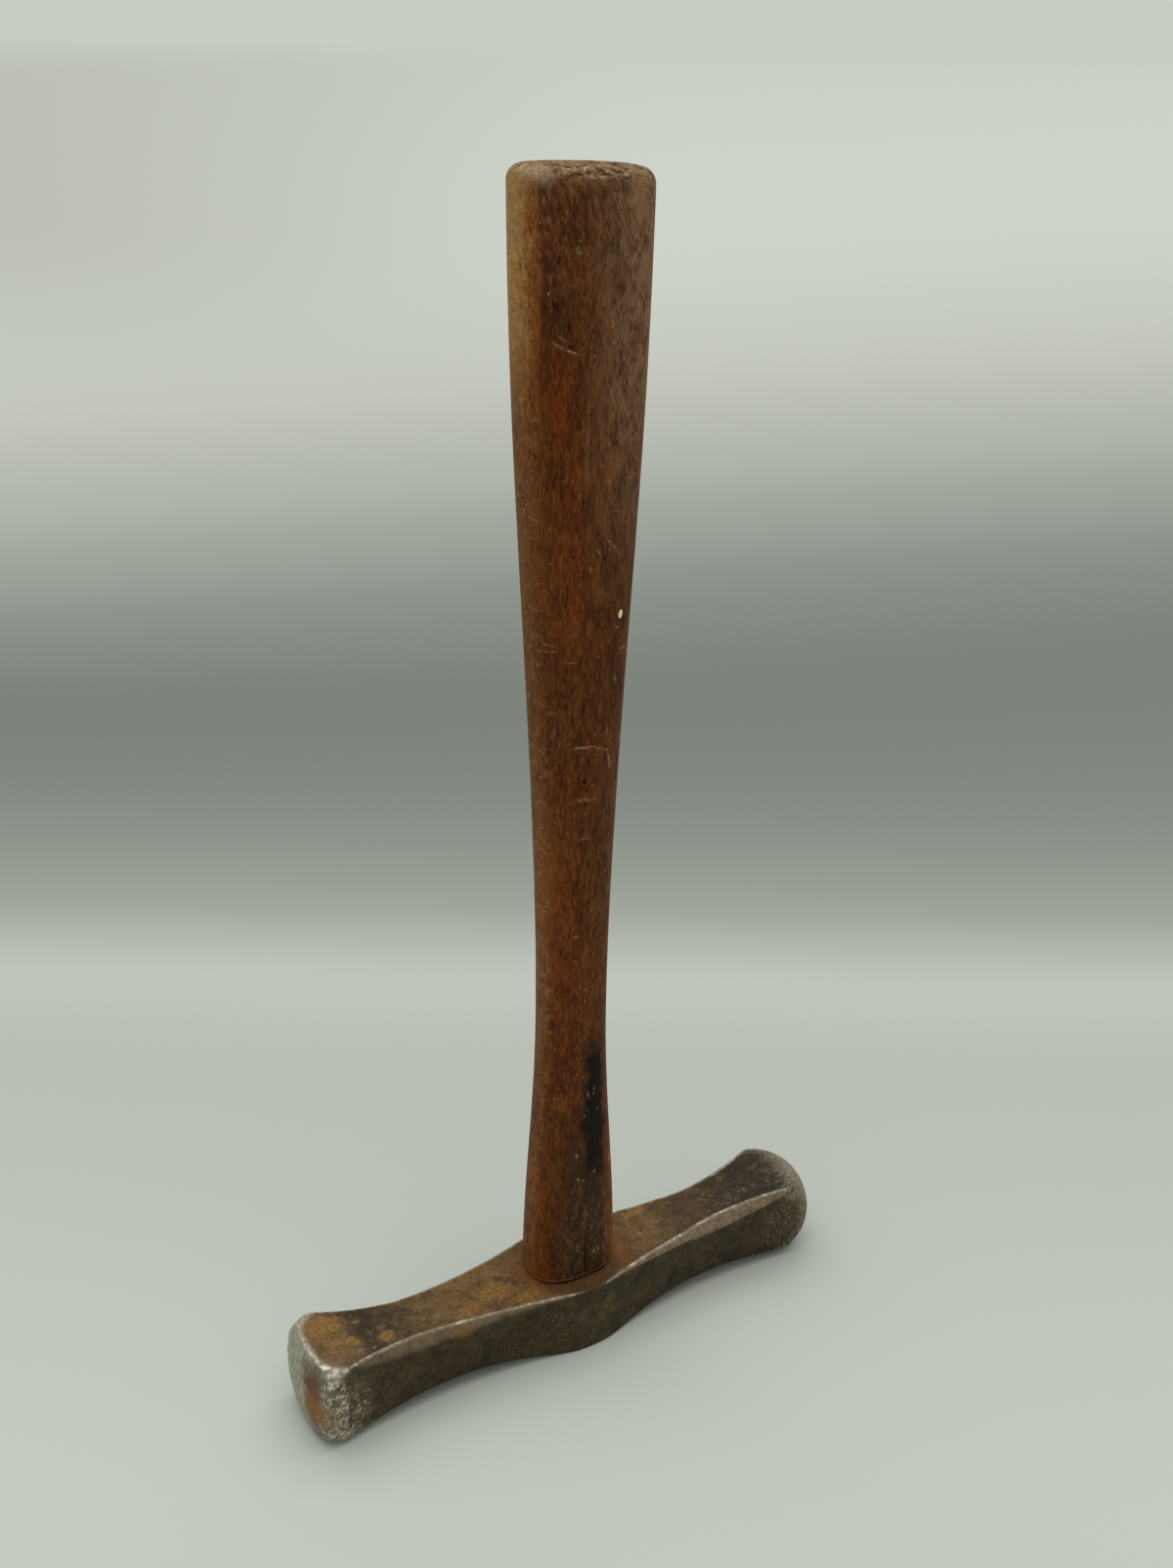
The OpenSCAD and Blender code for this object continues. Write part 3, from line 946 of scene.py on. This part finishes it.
def steel_wear(paint, streak):
    """The bare steel: the faces' colour, how worn they are, and near-white painted highlights on its
    scratches, the near rim, a bumped spot and the top edges.
    """
    streaky = paint.noise((0.8, 0.8, 2.8), 4, 0.66, 57)
    face = streaky.ramp(0.38, 0.56).mix(FACE_DARK, FACE_PALE)
    near_end = paint.x.ramp(-60, -75)
    rubbed = paint.y.ramp(-10, -2).blend(0.3, 0.9)
    near_face = paint.mask("face") * near_end * rubbed * ~streak
    far_face = paint.mask("face") * paint.x.ramp(60, 75) * streaky.ramp(0.4, 0.6) * 0.35
    # Scratches in the worn places, painted near white as highlights and broken into glints
    scars = paint.noise((0.28, 0.28, 1.5), 4, 0.76, 23, turn=(0, 28, 0))
    clumps = paint.noise((2.4, 2.4, 3.4), 5, 0.72, 26)
    scratch_glints = scars * 3.8 + clumps * 2 - 2.9
    corner = paint.patch((-82, -12, 13.5), (6.4, 5, 15), blur=0.95, at=paint.torn(3, 2.6, 33))
    foot = paint.patch((-80, -10.5, 3.5), (9, 7, 5.5), blur=0.95) * 0.9
    rim = paint.mask("rim") * paint.y.ramp(4, -5) * paint.z.ramp(4, 18) * 0.8
    flank = paint.patch((-75, -13, 12), (9, 5, 12), blur=0.95) * 0.62
    worn = (corner | foot | rim | flank) * near_end
    scratch_glints = (worn + scratch_glints).ramp(0.64, 1.06)
    glint = paint.noise(1.3, 4, 0.72, 53).ramp(0.44, 0.6)
    scratch_glints = scratch_glints * worn.ramp(0.15, 0.85) * glint.spread(0.18, 1)
    # A painted highlight along the rim of the near face
    arc = paint.mask("rim_line") * near_end * paint.z.ramp(21, 25.5) * paint.y.ramp(5, -4)
    arc = arc * glint.spread(0.2, 1)
    # A painted highlight on a bumped spot at the top of the near corner
    bumped_highlight = paint.patch((-80.6, -12.3, 26), (2.2, 1.7, 0.9), blur=0.8, at=paint.torn(1.2, 0.8, 9))
    bumped_highlight = bumped_highlight * glint.spread(0.25, 1)
    bright = (arc | scratch_glints | bumped_highlight) * ~(streak * 0.92)
    # A broken painted highlight along the top edges
    edge = paint.noise(4, 4, 0.65, 58).ramp(0.46, 0.6)
    bright = bright | paint.mask("top_edge") * edge * glint.spread(0.15, 1) * 0.75
    haze = paint.patch((-75, -13, 13), (10, 5, 12)) * clumps.ramp(0.34, 0.6) * 2
    grey = (corner | foot | haze) * near_end * 0.2
    return face, near_face | far_face, grey, bright


def steel_material():
    paint = Paint("patinated_steel")
    up = paint.nz.ramp(0.55, 0.85)
    mottled = paint.noise(5, 5, 0.64, 2)
    fine = paint.noise(1.1, 4, 0.66, 7, turn=(25, 35, 15))
    grain = paint.noise(0.6, 3, 0.65, 17, turn=(20, 40, 30))
    colour = steel_sides(paint, mottled).over(up, steel_top(paint, mottled))
    # A darker red-brown on the top round the handle
    near = paint.patch((0, 0, 22), (17, 13.5, 2.5), blur=0.3, at=paint.torn(3, 1.4, 5)) * up
    colour = colour.over(near * 0.6, EYE_RED_BROWN)
    colour, streak = steel_rust(paint, colour, fine)
    # More of the darker red-brown in front of the handle
    front = near * paint.y.ramp(-9, -11.5)
    colour = colour.over(front * 0.5, EYE_RED_BROWN)
    colour = colour.darker(grain.ramp(0.5, 0.36) * up.spread(0.38, 0.55), PIT_AND_SHADE)
    speckled = paint.ragged(paint.patches(SPECKLED_PATCHES), 4, 1.5, 0.4, 25)
    speck = grain.ramp(0.52, 0.68)
    colour = colour.over(speck * (speckled * 0.65 + 0.08), GREY_SPECK)
    colour = colour.over(paint.patch((83, -9, 12), (8, 12, 13), blur=0.8) * 0.12, GREY_SPECK)
    far_rim = paint.ragged(paint.patch((84.3, -4, 25), (7.8, 14, 9)), 3, 1.4, 0.4, 28)
    colour = colour.over(far_rim * speck.spread(0.4, 0.9), GREY_SPECK)
    colour = steel_chamfers(paint, colour, mottled, fine)
    face, worn, grey, bright = steel_wear(paint, streak)
    colour = colour.over(grey, TAUPE)
    colour = colour.over(worn, face)
    # The painted highlights, near white
    colour = colour.over(bright, BRIGHT)
    bare = worn | bright
    pits = paint.noise(0.9, 4, 0.65, 61)
    dents = paint.noise(3.2, 3, 0.55, 67)
    normal = paint.bump(dents, 0.35, paint.bump(pits, 0.2))
    return paint.finish(
        Base_Color=colour,
        Metallic=bare.spread(0.12, 0.6),
        Roughness=0.64 + bare * -0.22 + pits.above(0.5) * 0.5,
        Specular_IOR_Level=0.2,
        Normal=normal,
    )


# The handle's wood

WOOD_DEEP = rgb(84, 38, 4)
WOOD = rgb(114, 60, 15)
WOOD_LIGHT = rgb(138, 90, 40)
WOOD_RED = rgb(142, 60, 8)
WOOD_TAN = rgb(176, 130, 74)
WOOD_ORANGE = rgb(146, 82, 24)
WOOD_SIDE = rgb(128, 89, 48)
WOOD_GREY = rgb(148, 114, 84)
WOOD_DUSTY = rgb(162, 126, 94)
WOOD_SMOKY = rgb(44, 29, 14)
WOOD_FLECK = rgb(122, 92, 66)
END_TAN = rgb(126, 100, 70)
END_PALE = rgb(176, 154, 120)
END_DARK = rgb(62, 42, 26)
STAIN_AND_SHADE = rgb(18, 11, 3)
SCUFF_AND_HIGHLIGHT = rgb(178, 142, 104)
CREAM = rgb(240, 222, 178)

SCUFFS = (
    ((-8.9, -11, 292.3), (1.4, 4, 0.22), 28, 0.9),
    ((-11.6, -10, 293.6), (1.6, 4, 0.3), 40, 0.45),
    ((-10.4, -10.5, 295), (1.3, 4, 0.25), 34, 0.4),
    ((-7.8, -12, 314.1), (0.5, 4, 1), -10, 0.55),
    ((1.1, -12, 297.6), (0.4, 4, 0.7), 0, 0.5),
    ((6.5, -11.5, 277), (0.6, 4, 0.4), -30, 0.5),
    ((-4.6, -12, 270), (0.5, 4, 9), 0, 0.22),
    ((3.9, -11, 245.1), (2.6, 4, 0.2), 49, 0.9),
    ((-0.5, -11, 244.4), (0.9, 4, 0.25), 50, 0.5),
    ((-2.8, -9.5, 193.4), (2.4, 4, 0.35), 3, 0.75),
    ((2.6, -9.2, 192), (2.2, 4, 0.3), 22, 0.6),
    ((5.2, -8.8, 188), (0.45, 4, 2.4), -14, 0.6),
    ((-2.2, -9, 178.4), (2, 4, 0.5), 8, 0.4),
    ((-1.6, -9, 167), (1.4, 4, 0.3), 4, 0.45),
    ((-2.8, -8.8, 66.3), (0.25, 4, 0.8), -14, 1),
    ((-2.4, -9.1, 57.9), (0.25, 4, 0.8), -20, 0.9),
    ((-0.9, -9.1, 57.2), (0.45, 4, 0.4), 0, 0.8),
    ((10.4, -6, 59.8), (1.2, 1.6, 1.3), 0, 1),
    ((1, -9, 86), (0.35, 4, 1.4), -8, 0.45),
    ((3, -9, 86.5), (0.3, 4, 1.6), 6, 0.45),
    ((-3.6, -9, 138), (0.9, 4, 0.3), 0, 0.6),
    ((-3.4, -9, 130), (0.8, 4, 0.3), 30, 0.5),
    ((1.5, -12, 261.5), (0.9, 4, 0.35), 30, 0.4),
    ((-11.2, -3.5, 221.3), (1, 4, 0.2), 10, 0.5),
    ((-11, -3.5, 219.8), (1.5, 4, 0.25), -6, 0.6),
    ((-7, -9, 217), (1.4, 4, 0.2), 12, 0.45),
    ((8.4, -8.4, 218.2), (1.3, 3, 0.4), 0, 0.5),
    ((6, -9.8, 210.5), (0.3, 3, 1.3), -12, 0.5),
    ((-10.2, -4, 203), (0.8, 3, 0.8), 0, 0.4),
    ((-10, -4, 198), (0.35, 3, 1.7), 6, 0.5),
    ((-8.8, -4.5, 195.2), (0.35, 3, 1.6), -8, 0.4),
    ((5, 10.5, 230), (3.5, 4, 0.3), 24, 0.7),
    ((-3, 9.5, 140), (0.4, 4, 6), 4, 0.4),
    ((8, 8.5, 96), (2.5, 4, 0.35), -10, 0.5),
)


def wood_base(paint):
    """The colour of the clean wood: broad tones, short streaks and redder places."""
    broad = paint.noise((7, 7, 60), 3, 0.5, 3)
    cloudy = paint.noise((2.6, 2.6, 7), 4, 0.62, 53)
    streaks = paint.noise((0.6, 0.6, 4.5), 3, 0.65, 11)
    tone = broad * 0.4 + cloudy * 0.6
    colour = tone.ramp(0.38, 0.62).mix(WOOD_DEEP, WOOD)
    colour = colour.over(streaks.ramp(0.52, 0.68) * 0.4, WOOD_LIGHT)
    colour = colour.darker(streaks.ramp(0.5, 0.36) * 0.45, rgb(160, 132, 106))
    torn = paint.torn(2.4, 0.9, 4)
    red = (
        paint.patch((-10.9, -10, 281), (2.6, 6, 8), blur=0.8, at=torn)
        | paint.patch((-8, -10, 240), (3, 6, 26), at=torn) * 0.5
        | paint.patch((-6, -8, 120), (3, 6, 30), at=torn) * 0.5
        | paint.patch((-13, -8, 315), (3, 6, 9), blur=0.8, at=torn) * 0.4
    )
    return colour.over(red * 0.5, WOOD_RED)


def wood_sides(paint, colour):
    """Paler wood on the narrow sides, which near the grip's end has a crisp, orange edge, and a painted
    sheen of tan where the left side turns away.
    """
    waver = (paint.noise((2, 2, 9), 5, 0.7, 73) - 0.5) * 0.34
    inside = paint.mask("narrow") + waver - 0.52
    high = paint.z.ramp(266, 304)
    strip = high.blend(inside.ramp(-0.4, 0.4), inside.ramp(-0.08, 0.06))
    left = paint.mask("left").ramp(0.4, 0.6)
    orange = strip * left * high.blend(0.45, 0.85)
    colour = colour.over(orange, WOOD_ORANGE)
    beside = inside.ramp(-0.4, -0.1) * inside.ramp(0.02, -0.04) * left * high
    colour = colour.darker(beside * 0.4, rgb(150, 130, 112))
    # Painted sheen: pale tan where the left narrow side turns away, on wood that is paler there too
    turned_back = paint.mask("front") + (paint.noise((2, 2, 5), 4, 0.6, 71) - 0.5) * 0.5
    pale = strip * left * turned_back.ramp(0.72, 0.5)
    ripples = paint.noise((2.4, 2.4, 1.3), 4, 0.68, 75).ramp(0.4, 0.58)
    tan = (high * ripples.spread(0.45, 1)).mix(WOOD_SIDE, WOOD_TAN)
    colour = colour.over(pale * high.blend(0.4, 1), tan)
    right = paint.mask("left").ramp(0.2, 0.04) * ripples.spread(0.25, 0.5)
    return colour.over(right, WOOD_SIDE), pale * high


def wood_dirt(paint, colour, strip):
    """Dust and smudges on the grip, a grey painted sheen with dust on its upper right, a darker foot,
    flecks of grain and the black stain.
    """
    flames = paint.noise((1.6, 1.6, 5), 5, 0.72, 86, turn=(0, -14, 0)).ramp(0.54, 0.42)
    on_grip = paint.z.ramp(215, 290) * ~strip
    colour = colour.darker(flames * on_grip * 0.36, rgb(172, 156, 146))
    bark = paint.noise((1.3, 1.3, 3.4), 5, 0.75, 89, turn=(0, -26, 0))
    aged = paint.z.ramp(292, 324) * ~strip
    colour = colour.over(bark.ramp(0.48, 0.62) * aged * 0.4, WOOD_GREY)
    colour = colour.over(bark.ramp(0.46, 0.38) * aged * 0.6, WOOD_SMOKY)
    rubbed = paint.patch((-12, -6, 205), (6, 7, 28))
    colour = colour.over(rubbed * 0.36, WOOD_SMOKY)
    smudges = (
        paint.patch((-9, -11, 319), (4.5, 8, 6))
        | paint.patch((3, -12, 311), (6, 8, 9))
        | paint.patch((-10.5, -11, 301), (2.6, 8, 8))
    )
    smudges = paint.ragged(smudges * 0.75, 3, 1.8, 0.4, 88)
    colour = colour.over(smudges * 0.42, WOOD_SMOKY)
    blotch_noise = paint.noise((2.5, 2.5, 6), 4, 0.62, 81).ramp(0.34, 0.6)
    # Grey dust with a painted sheen of light from above, on the upper right of the grip
    dusty = paint.x.ramp(-8, 8) * paint.z.ramp(215, 300) * blotch_noise.spread(0.35, 0.9)
    colour = colour.over(dusty, WOOD_GREY)
    handled = paint.x.ramp(-4, 7) * paint.z.ramp(120, 190) * paint.z.ramp(290, 230)
    colour = colour.over(handled * blotch_noise.spread(0.5, 0.15), WOOD_SMOKY)
    slim = paint.x.ramp(-1, 6) * paint.z.ramp(96, 130) * paint.z.ramp(215, 180)
    colour = colour.over(slim * blotch_noise.spread(0.1, 0.3), WOOD_SIDE)
    grime = paint.noise((2.6, 2.6, 6), 5, 0.7, 82).ramp(0.54, 0.42)
    colour = colour.over(grime * paint.z.ramp(160, 90) * 0.52, WOOD_SMOKY)
    foot = paint.z.ramp(100, 48)
    dark_foot = foot * paint.mask("left").ramp(0.98, 0.6) * paint.mask("left").ramp(0.05, 0.4)
    smoke = paint.noise((4, 4, 10), 4, 0.6, 87).ramp(0.3, 0.55)
    colour = colour.over(dark_foot * smoke.spread(0.56, 0.9), WOOD_SMOKY)
    clouds = paint.noise((1.5, 1.5, 3.6), 6, 0.75, 83).ramp(0.48, 0.66)
    cloudy_foot = clouds * paint.z.ramp(72, 42) * paint.mask("left").ramp(0.86, 0.6) * 0.34
    colour = colour.over(cloudy_foot, WOOD_DUSTY)
    edge = paint.mask("left").ramp(0.3, 0.08) * foot * smoke.spread(0.2, 0.5)
    colour = colour.over(edge, WOOD_LIGHT)
    amount = wood_flecks(paint) * ~(strip * 0.75) * dark_foot.spread(1, 0.45)
    colour = colour.darker(amount, WOOD_FLECK)
    pale = paint.noise((0.5, 0.5, 2.4), 3, 0.6, 113).ramp(0.52, 0.7)
    colour = colour.over(pale * dark_foot.spread(0.36, 0.15), WOOD_SIDE)
    x, _, z = paint.split(paint.torn(8, 4.5, 8))
    fray = (paint.noise((1, 1, 4), 4, 0.7, 84) - 0.5) * 4
    across = (x + fray).ramp(-2.4, 2.2) * (x + fray).ramp(6.9, 4.7)
    along = (z + fray).ramp(46, 68) * (z + fray).ramp(108, 94)
    smear = paint.noise((1.2, 1.2, 3.5), 4, 0.65, 85).ramp(0.3, 0.5)
    stain = (across * along).spread(0, 1.25) * paint.y.ramp(0, -3)
    return colour.over(stain * smear.spread(0.72, 0.96), STAIN_AND_SHADE)


def wood_damage(paint, colour, end_grain):
    """Chipped end grain, scuffs, a fleck of paint, a pit, a crack, painted highlights on the lip and on a
    top corner of the grip, and the dark gap at the head, which is painted shade with dirt.
    """
    chips = paint.noise(1.6, 4, 0.7, 91)
    end = chips.ramp(0.54, 0.64).mix(END_TAN, END_PALE)
    end = end.over(chips.ramp(0.48, 0.4) * 0.9, END_DARK)
    crevices = paint.noise((2.6, 2.6, 0.7), 4, 0.7, 93).ramp(0.47, 0.38)
    end = end.over(crevices * 0.9, STAIN_AND_SHADE)
    colour = colour.over(end_grain * 0.9, end)
    torn = paint.torn(1, 0.5, 6)
    gaps = paint.noise(0.6, 4, 0.75, 97).ramp(0.4, 0.58)
    for middle, half, lean, strength in SCUFFS:
        scuff = paint.patch(middle, half, (0, lean, 0), 0.8, at=torn) * gaps * strength
        colour = colour.over(scuff, SCUFF_AND_HIGHLIGHT)
    wavy = (paint.z + paint.noise(9, 3, 0.6, 98) * 30) * 0.8
    ticks = paint.maths("SINE", wavy).ramp(0.9, 1)
    ticks = ticks * gaps * paint.mask("left").ramp(0.93, 0.98) * paint.z.ramp(95, 120)
    colour = colour.over(ticks * paint.z.ramp(170, 220).spread(0.55, 0.36), SCUFF_AND_HIGHLIGHT)
    scratches = (
        paint.strokes((14, 14, 9), 1.6, 0.006, 0.16, 3)
        | paint.strokes((9, 9, 16), 1.8, 0.006, 0.16, 9, (0, 25, 0))
        | paint.strokes((8, 8, 2.5), 1.4, 0.016, 0.24, 15) * paint.mask("narrow").ramp(0.35, 0.7)
    )
    colour = colour.over(scratches * 0.5, SCUFF_AND_HIGHLIGHT)
    # A painted highlight on the rounded corner at the top of the grip's -X side
    corner = paint.patch((-15, -5, 330.2), (2.6, 7, 2.4), at=torn)
    colour = colour.over(corner * 0.4, END_PALE)
    colour = colour.over(paint.patch((6.9, -10, 227.5), (0.72, 3, 1.1), (0, 8, 0), 0.12), CREAM)
    pit = paint.patch((-2.2, -9, 183.7), (0.6, 3, 0.7), blur=0.5)
    crack = paint.patch((CRACK_X, -10, 30), (0.17, 3, 10), blur=0.8) * 0.8
    low = paint.z + paint.noise(1.5, 2, 0.5, 95)
    # A painted highlight along the rounded lip, just above the gap
    lip = low.ramp(HEAD_H + 1.2, HEAD_H + 1.5) * low.ramp(HEAD_H + 2.1, HEAD_H + 1.7) * 0.25
    colour = colour.over(lip, SCUFF_AND_HIGHLIGHT)
    # Painted shade with dirt in the gap between the handle and the head, and on the tenon inside the eye
    gap = low.ramp(HEAD_H + 0.95, HEAD_H + 0.5) * paint.z.ramp(3, 8)
    return colour.over((pit | crack | gap) * 0.92, STAIN_AND_SHADE)


def wood_flecks(paint):
    """Short dark dashes of grain, which lean to the right on the upper right of the grip."""
    straight = paint.noise((0.4, 0.4, 2.3), 4, 0.68, 13).ramp(0.46, 0.62)
    leaning = paint.noise((0.48, 0.48, 2.8), 4, 0.68, 19, turn=(0, -22, 0)).ramp(0.45, 0.61)
    to_right = paint.x.ramp(-7, 3) * paint.z.ramp(200, 260)
    patchy = paint.noise((3.6, 3.6, 9), 4, 0.6, 29).ramp(0.38, 0.58).spread(0.3, 1)
    dashes = (straight * 0.9 | leaning * to_right * 0.85) * patchy
    lines = paint.noise((0.42, 0.42, 9), 3, 0.6, 17).ramp(0.5, 0.64)
    lines = lines * paint.x.ramp(-2, 3) * paint.z.ramp(88, 120) * paint.z.ramp(225, 185)
    return dashes | lines * 0.8


def wood_material():
    paint = Paint("old_wood")
    end_line = paint.z + (paint.noise((2.4, 2.4, 1.6), 3, 0.6, 33) - 0.5) * 5
    end_grain = (end_line + paint.x * (END_TILT / GRIP_W)).ramp(TOTAL_H - 5, TOTAL_H - 1.5)
    tenon_end = paint.z.ramp(TENON_Z + 1.6, TENON_Z + 0.8) * 0.55
    end_grain = end_grain | tenon_end
    fibres = paint.noise((0.35, 0.35, 3.5), 3, 0.6, 37)
    normal = paint.bump(fibres, 0.16)
    normal = paint.bump(paint.noise((2.5, 2.5, 9), 3, 0.5, 41), 0.25, normal)
    # strip is where the pale wood and its painted sheen lie, high on the left side
    colour, strip = wood_sides(paint, wood_base(paint))
    ripples = paint.noise((2.6, 2.6, 1.6), 3, 0.5, 77) * strip
    normal = paint.bump(ripples, 0.5, normal)
    colour = wood_damage(paint, wood_dirt(paint, colour, strip), end_grain)
    roughness = 0.5 + end_grain * 0.3 + fibres * 0.1
    return paint.finish(Base_Color=colour, Roughness=roughness, Specular_IOR_Level=0.1, Normal=normal)


# The wedges

def wedge_wood_material():
    paint = Paint("wedge_wood")
    rings = paint.noise((7, 0.5, 3), 3, 0.6, 3)
    pores = paint.noise(0.3, 2, 0.6, 8).ramp(0.55, 0.68)
    colour = rings.ramp(0.4, 0.62).mix(rgb(124, 92, 56), rgb(160, 124, 80))
    colour = colour.darker(pores * 0.8, WOOD_FLECK)
    grime = paint.noise(3, 4, 0.6, 12).ramp(0.42, 0.62)
    colour = colour.over(grime * 0.6, rgb(66, 48, 32))
    return paint.finish(Base_Color=colour, Roughness=0.7, Normal=paint.bump(pores, -0.15))


def wedge_steel_material():
    paint = Paint("wedge_steel")
    rust = paint.noise(1.6, 4, 0.65, 4).ramp(0.42, 0.6)
    struck = paint.nz.ramp(-0.6, -0.9) * paint.noise(0.8, 3, 0.6, 9).ramp(0.4, 0.6)
    colour = rust.mix(OXIDE, RUST)
    colour = colour.over(struck * 0.7, FACE_PALE)
    return paint.finish(
        Base_Color=colour,
        Metallic=struck.spread(0.2, 0.9),
        Roughness=struck.spread(0.7, 0.4),
        Normal=paint.bump(rust, 0.2),
    )


# Camera, floor and light

LENS = 38.02
SENSOR = 36
CAMERA_AT = (-0.2031, -0.3349, 0.3610)
CAMERA_YAW = 31.72
CAMERA_PITCH = 24.92
CAMERA_ROLL = 0.93


def add_camera():
    data = bpy.data.cameras.new("camera")
    data.lens = LENS
    data.sensor_width = SENSOR
    camera = bpy.data.objects.new("camera", data)
    bpy.context.scene.collection.objects.link(camera)
    camera.location = CAMERA_AT
    turn = Euler((0, 0, math.radians(-CAMERA_YAW))).to_matrix()
    tip = Euler((math.radians(90 - CAMERA_PITCH), 0, 0)).to_matrix()
    roll = Euler((0, 0, math.radians(CAMERA_ROLL))).to_matrix()
    camera.rotation_euler = (turn @ tip @ roll).to_euler()
    bpy.context.scene.camera = camera


FLOOR_FAR = rgb(184, 188, 181)
FLOOR_NEAR = rgb(197, 202, 192)
SKY = rgb(200, 205, 195)
SKY_LEFT = rgb(188, 192, 182)
FLOOR_SIZE = 60

# The direction that the photo looks in, its camera's height, and how far its foot is from the hammer's
BACK_DIRECTION = (0.526, 0.851)
CAMERA_HEIGHT = 361
CAMERA_FOOT = 391.7

# Distances from the hammer between which the floor turns into backdrop, and the backdrop into sky
BACKDROP_FROM = (500, 2500)
SKY_FROM = (9000, 24000)

# Tones of the backdrop, by the share of the way up to the horizon: the painted shade and light of a sweep
# that curves up, a dark band between paler tones
BACKDROP = (
    (0.595, rgb(188, 193, 184)),
    (0.613, rgb(195, 200, 191)),
    (0.626, rgb(184, 189, 180)),
    (0.640, rgb(161, 167, 157)),
    (0.664, rgb(141, 147, 138)),
    (0.700, rgb(127, 132, 125)),
    (0.730, rgb(130, 135, 127)),
    (0.760, rgb(147, 152, 144)),
    (0.790, rgb(170, 175, 165)),
    (0.830, rgb(192, 196, 186)),
    (0.870, rgb(203, 208, 198)),
    (0.920, rgb(206, 211, 201)),
    (1.000, SKY),
)


def add_floor():
    """A pale floor that runs back into a backdrop, whose tones, the painted shade and light of a curving
    sweep, are painted on it by place and glow.
    """
    bpy.ops.mesh.primitive_plane_add(size=FLOOR_SIZE)
    floor = bpy.context.object
    floor.name = "floor"
    paint = Paint("floor")
    forward = paint.x * BACK_DIRECTION[0] + paint.y * BACK_DIRECTION[1]
    distance = forward + CAMERA_FOOT | 1
    share = distance / (distance + CAMERA_HEIGHT)
    aside = (paint.x * BACK_DIRECTION[1] + paint.y * -BACK_DIRECTION[0]) / distance
    behind = paint.maths("ABSOLUTE", aside).ramp(1.1, 0.42)
    tilt = aside * share.ramp(0.66, 0.76) * -0.055
    tones = paint.add("ShaderNodeValToRGB", {0: share + tilt})
    tones.color_ramp.interpolation = "CARDINAL"
    stops = tones.color_ramp.elements
    stops[0].position, stops[0].color = BACKDROP[0]
    stops[1].position, stops[1].color = BACKDROP[-1]
    for position, colour in BACKDROP[1:-1]:
        stops.new(position).color = colour
    # Painted shade: the backdrop a little darker to the left, high up
    to_left = aside.ramp(0.05, -0.35) * share.ramp(0.8, 0.9)
    tones = behind.mix(SKY, Value(paint, tones.outputs[0]).over(to_left, SKY_LEFT))
    radius = paint.vector("LENGTH", {0: paint.place}, "Value")
    # The backdrop glows in its painted tones, turning into the sky's colour far off
    backdrop = paint.get("ShaderNodeEmission", {"Color": tones.over(radius.ramp(*SKY_FROM), SKY)})
    painted = share.ramp(0.585, 0.635) * behind | radius.ramp(*BACKDROP_FROM)
    # Painted light: the floor paler towards the camera's side
    tone = share.ramp(0.6, 0.46).mix(FLOOR_FAR, FLOOR_NEAR)
    paint.finish(Base_Color=tone, Roughness=0.75, Specular_IOR_Level=0.2)
    lit = Value(paint, paint.shader.outputs[0])
    surface = paint.get("ShaderNodeMixShader", {0: painted * paint.seen(), 1: lit, 2: backdrop})
    paint.feed(paint.tree.nodes["Material Output"].inputs["Surface"], surface)
    floor.data.materials.append(paint.material)


WORLD_LIGHT = 0.56
WORLD_COLOUR = (0.97, 1, 0.96, 1)
LAMP_POWER = 12
LAMP_SIZE = 1.6
LAMP_AT = (0.05, 0.12, 1.3)
LAMP_TARGET = (0, 0, 0.1)


def add_world():
    """Light from all round, in which the camera and mirrors see the sky's colour."""
    world = bpy.data.worlds.new("world")
    bpy.context.scene.world = world
    nodes = Nodes(world)
    nodes.tree.nodes.clear()
    light = nodes.get("ShaderNodeBackground", {"Color": WORLD_COLOUR, "Strength": WORLD_LIGHT})
    sky = nodes.get("ShaderNodeBackground", {"Color": SKY, "Strength": 1})
    shown = nodes.get("ShaderNodeMixShader", {0: nodes.seen(), 1: light, 2: sky})
    nodes.add("ShaderNodeOutputWorld", {"Surface": shown})


def add_lamp():
    lamp = bpy.data.lights.new("softbox", "AREA")
    lamp.energy = LAMP_POWER
    lamp.size = LAMP_SIZE
    light = bpy.data.objects.new("softbox", lamp)
    light.location = LAMP_AT
    light.rotation_euler = (Vector(LAMP_TARGET) - light.location).to_track_quat("-Z", "Y").to_euler()
    bpy.context.scene.collection.objects.link(light)


def dress_cad_node(node, material):
    """Gives a CAD node that stays its material."""
    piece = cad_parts[node]
    piece.data.materials.clear()
    piece.data.materials.append(material)


head = make_head()
head.data.materials.append(steel_material())
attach(head, "root")
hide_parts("head")

handle = make_handle()
handle.data.materials.append(wood_material())
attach(handle, "root")
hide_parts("handle")

dress_cad_node("wooden_wedge", wedge_wood_material())
steel_wedge_look = wedge_steel_material()
dress_cad_node("steel_wedge_left", steel_wedge_look)
dress_cad_node("steel_wedge_right", steel_wedge_look)

add_camera()
add_floor()
add_world()
add_lamp()
bpy.context.scene.view_settings.view_transform = "Standard"
